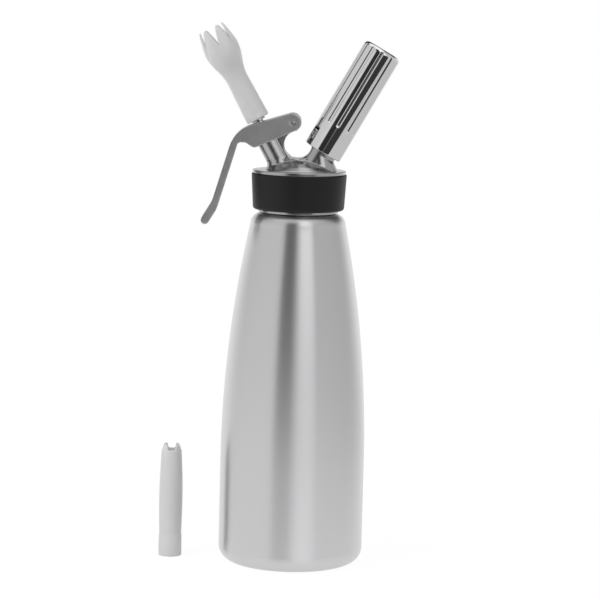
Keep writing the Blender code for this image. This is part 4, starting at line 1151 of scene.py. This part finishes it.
class BuildHolder(Operator):
    """Build the polished charger holder with its flutes"""
    bl_idname = "dispenser.holder"
    bl_label = "Charger Holder"
    foot_rows = 18
    first_foot_row = 4
    foot_reach = 1.08
    side_rows = 12
    top_rows = 14

    def flute(self, shape, s):
        """Draw the outside in to where a round cutter with a ball end would leave it."""
        spread = 2 * math.pi / s.flutes
        for vert in shape.verts:
            across = Vector((vert.co.x, vert.co.y))
            if vert.co.z < s.flute_foot or across.length < s.thread_bore:
                continue
            turn = math.atan2(across.y, across.x) - s.flute_phase
            turn -= spread * round(turn / spread)
            lift = max(0.0, s.flute_foot + s.flute_cutter - vert.co.z)
            reach = s.flute_cutter ** 2 - lift ** 2 - (s.flute_circle * math.sin(turn)) ** 2
            if reach <= 0:
                continue
            depth = s.flute_circle * math.cos(turn) - math.sqrt(reach)
            if depth < across.length:
                vert.co.x, vert.co.y = across.normalized() * depth

    def execute(self, context):
        s, nipple = context.scene.dispenser_holder, context.scene.dispenser_charger
        beside = s.rim_rounding / 2
        straight = [s.rim + s.rim_rounding + beside, s.flute_foot]
        reach = s.flute_cutter * self.foot_reach
        straight += [s.flute_foot + reach * i / self.foot_rows
                     for i in range(self.first_foot_row, self.foot_rows + 1)]
        low_arc = s.top - s.top_rounding
        left = low_arc - beside - straight[-1]
        straight += [straight[-1] + left * i / self.side_rows for i in range(1, self.side_rows + 1)]
        crown = arc((s.radius - s.top_rounding, low_arc), s.top_rounding, 0, 90)
        flat = crown[-1][0]
        top = [(flat - flat * i / self.top_rows, s.top) for i in range(1, self.top_rows + 1)]
        inner = [(s.bore, s.bore_end, s.bore / 3), (s.bore, s.thread_top + s.fit_step, 0),
                 (s.thread_bore, s.thread_top, 0), (s.thread_bore, s.rim, beside),
                 (s.radius, s.rim, s.rim_rounding)]
        lining = corner_path([(0, s.bore_end, 0)] + inner + [(s.radius, s.top, 0)])[:-1]
        path = lining + [(s.radius, height) for height in straight] + crown + top
        shape = lathe(path, steps=HOLDER_STEPS)
        self.flute(shape, s)
        bmesh.ops.transform(shape, matrix=CHARGER, verts=shape.verts)
        start = nipple.ridge_start - nipple.drop
        thread = ridge(s.thread_bore, nipple.ridge, nipple.pitch, nipple.turns, start, CHARGER,
                       fade=-nipple.ridge)
        put("charger_cover", with_shells(shape, thread), ["charger_holder"], "holder_polished_steel")
        return {"FINISHED"}


class SetStage(Operator):
    """Set up the camera, the white floor, the studio light and the view"""
    bl_idname = "dispenser.stage"
    bl_label = "Stage"
    seen_white = 1.06
    floor_glow = 0.88
    floor_dim = 0.38
    floor_dim_from = (0.34, 0.42)

    def floor(self, s):
        material, tree = new_finish("studio_floor")
        path = tree.node("ShaderNodeLightPath")
        seen = path.math("MAXIMUM", path, Value(tree, path.socket.node.outputs["Is Glossy Ray"]))
        seen = path.math("MAXIMUM", seen, Value(tree, path.socket.node.outputs["Is Transmission Ray"]))
        diffuse = tree.node("ShaderNodeBsdfDiffuse", None, {"Color": shade(s.floor_color)})
        side = Value(tree, tree.node("ShaderNodeSeparateXYZ", None, {0: tree.place()}).socket)
        reflected = 1.0 - self.floor_dim * side.between(*self.floor_dim_from)
        bright = reflected + (self.seen_white - reflected) * path
        glow = tree.node("ShaderNodeEmission", None, {"Color": bright})
        mixed = tree.node("ShaderNodeMixShader", None, {0: seen * self.floor_glow, 1: diffuse, 2: glow})
        tree.node("ShaderNodeOutputMaterial", None, {"Surface": mixed})
        shape = bmesh.new()
        bmesh.ops.create_grid(shape, x_segments=1, y_segments=1, size=s.floor)
        mesh = bpy.data.meshes.new("floor")
        shape.to_mesh(mesh)
        shape.free()
        mesh.materials.append(material)
        plane = bpy.data.objects.new("floor", mesh)
        bpy.context.scene.collection.objects.link(plane)

    def world(self):
        """White for the camera. Round the object, panels and dark flags as in a photo studio.

        Each has a level and a place: degrees round from the camera's side, and degrees of height.
        """
        world = bpy.data.worlds.new("studio")
        bpy.context.scene.world = world
        tree = Tree(world)
        way = tree.node("ShaderNodeTexCoord", output="Generated")
        parts = tree.node("ShaderNodeSeparateXYZ", None, {0: way})
        x, y, z = (Value(tree, parts.socket.node.outputs[i]) for i in range(3))
        turn = x.math("ARCTAN2", x, 0 - y) * (180 / math.pi)
        rise = z.math("ARCSINE", z) * (180 / math.pi)
        away = turn.math("ABSOLUTE", turn)

        def window(value, low, high, soft):
            return value.between(low - soft, low + soft) * (1 - value.between(high - soft, high + soft))

        back_sweep = away.between(105, 145) * (1 - rise.between(8, 14))
        back_flag = away.between(100, 120) * window(rise, 20, 53, 4)
        front_panel = window(turn, 6, 36, 2.5) * rise.between(1, 5)
        front_flag = window(turn, -30, -2, 3) * (1 - rise.between(45, 55))
        table_edge = window(turn, -32, 42, 3) * (1 - rise.between(-4, 1))
        overhead = rise.between(54, 62)
        seen = tree.node("ShaderNodeLightPath")
        light = 0.78 - 0.13 * turn.between(-10, 10) - 0.08 * rise.between(12, 24)
        for level, where in ((1.0, back_sweep), (0.06, back_flag), (1.35, front_panel), (0.03, front_flag),
                             (0.04, table_edge), (1.1, overhead), (1.0, seen)):
            light = light + (level - light) * where
        glow = tree.node("ShaderNodeBackground", None, {"Color": (1, 1, 1, 1), "Strength": light})
        tree.node("ShaderNodeOutputWorld", None, {"Surface": glow})

    def execute(self, context):
        s, scene = context.scene.dispenser_stage, context.scene
        camera = bpy.data.objects.new("camera", bpy.data.cameras.new("camera"))
        scene.collection.objects.link(camera)
        camera.data.lens = s.lens
        camera.matrix_world = (Matrix.Translation(s.camera_place)
                               @ Matrix.Rotation(math.pi / 2 - s.camera_tilt, 4, "X")
                               @ Matrix.Rotation(s.camera_roll, 4, "Z"))
        scene.camera = camera
        self.floor(s)
        self.world()
        lamp = bpy.data.objects.new("soft_key", bpy.data.lights.new("soft_key", "AREA"))
        lamp.data.energy = s.key_power
        lamp.data.size = s.key_size
        lamp.visible_glossy = False
        way = Vector(s.key_aim) - Vector(s.key_place)
        turn = way.to_track_quat("-Z", "Y").to_matrix().to_4x4()
        lamp.matrix_world = Matrix.Translation(s.key_place) @ turn
        scene.collection.objects.link(lamp)
        scene.view_settings.view_transform = "Standard"
        return {"FINISHED"}


PIECES = (BuildBottle, BuildHead, BuildLever, BuildValve, BuildAdapter, BuildTips, BuildChargerArm,
          BuildHolder)
SETTINGS = {
    "dispenser_bottle": BottleSettings,
    "dispenser_head": HeadSettings,
    "dispenser_lever": LeverSettings,
    "dispenser_valve": ValveSettings,
    "dispenser_nozzle": NozzleSettings,
    "dispenser_tips": TipSettings,
    "dispenser_charger": ChargerSettings,
    "dispenser_holder": HolderSettings,
    "dispenser_finish": FinishSettings,
    "dispenser_stage": StageSettings,
}


class DispenserPanel(Panel):
    """Sizes, colours and a button for each piece"""
    bl_idname = "VIEW3D_PT_dispenser"
    bl_label = "Whipped Cream Dispenser"
    bl_space_type = "VIEW_3D"
    bl_region_type = "UI"
    bl_category = "Dispenser"

    def draw(self, context):
        for operator in (*PIECES, SetStage):
            self.layout.operator(operator.bl_idname)
        for name in SETTINGS:
            settings = getattr(context.scene, name)
            box = self.layout.box()
            box.label(text=name.split("_")[1].capitalize())
            for size in settings.__annotations__:
                box.prop(settings, size, text=size.replace("_", " ").capitalize())


def register():
    for cls in (*SETTINGS.values(), *PIECES, SetStage, DispenserPanel):
        bpy.utils.register_class(cls)
    for name, settings in SETTINGS.items():
        setattr(bpy.types.Scene, name, PointerProperty(type=settings))


def unregister():
    for name in SETTINGS:
        delattr(bpy.types.Scene, name)
    for cls in reversed((*SETTINGS.values(), *PIECES, SetStage, DispenserPanel)):
        bpy.utils.unregister_class(cls)


def main():
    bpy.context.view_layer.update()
    register()
    for operator in (*PIECES, SetStage):
        getattr(bpy.ops.dispenser, operator.bl_idname.split(".")[1])()


if __name__ == "__main__":
    main()
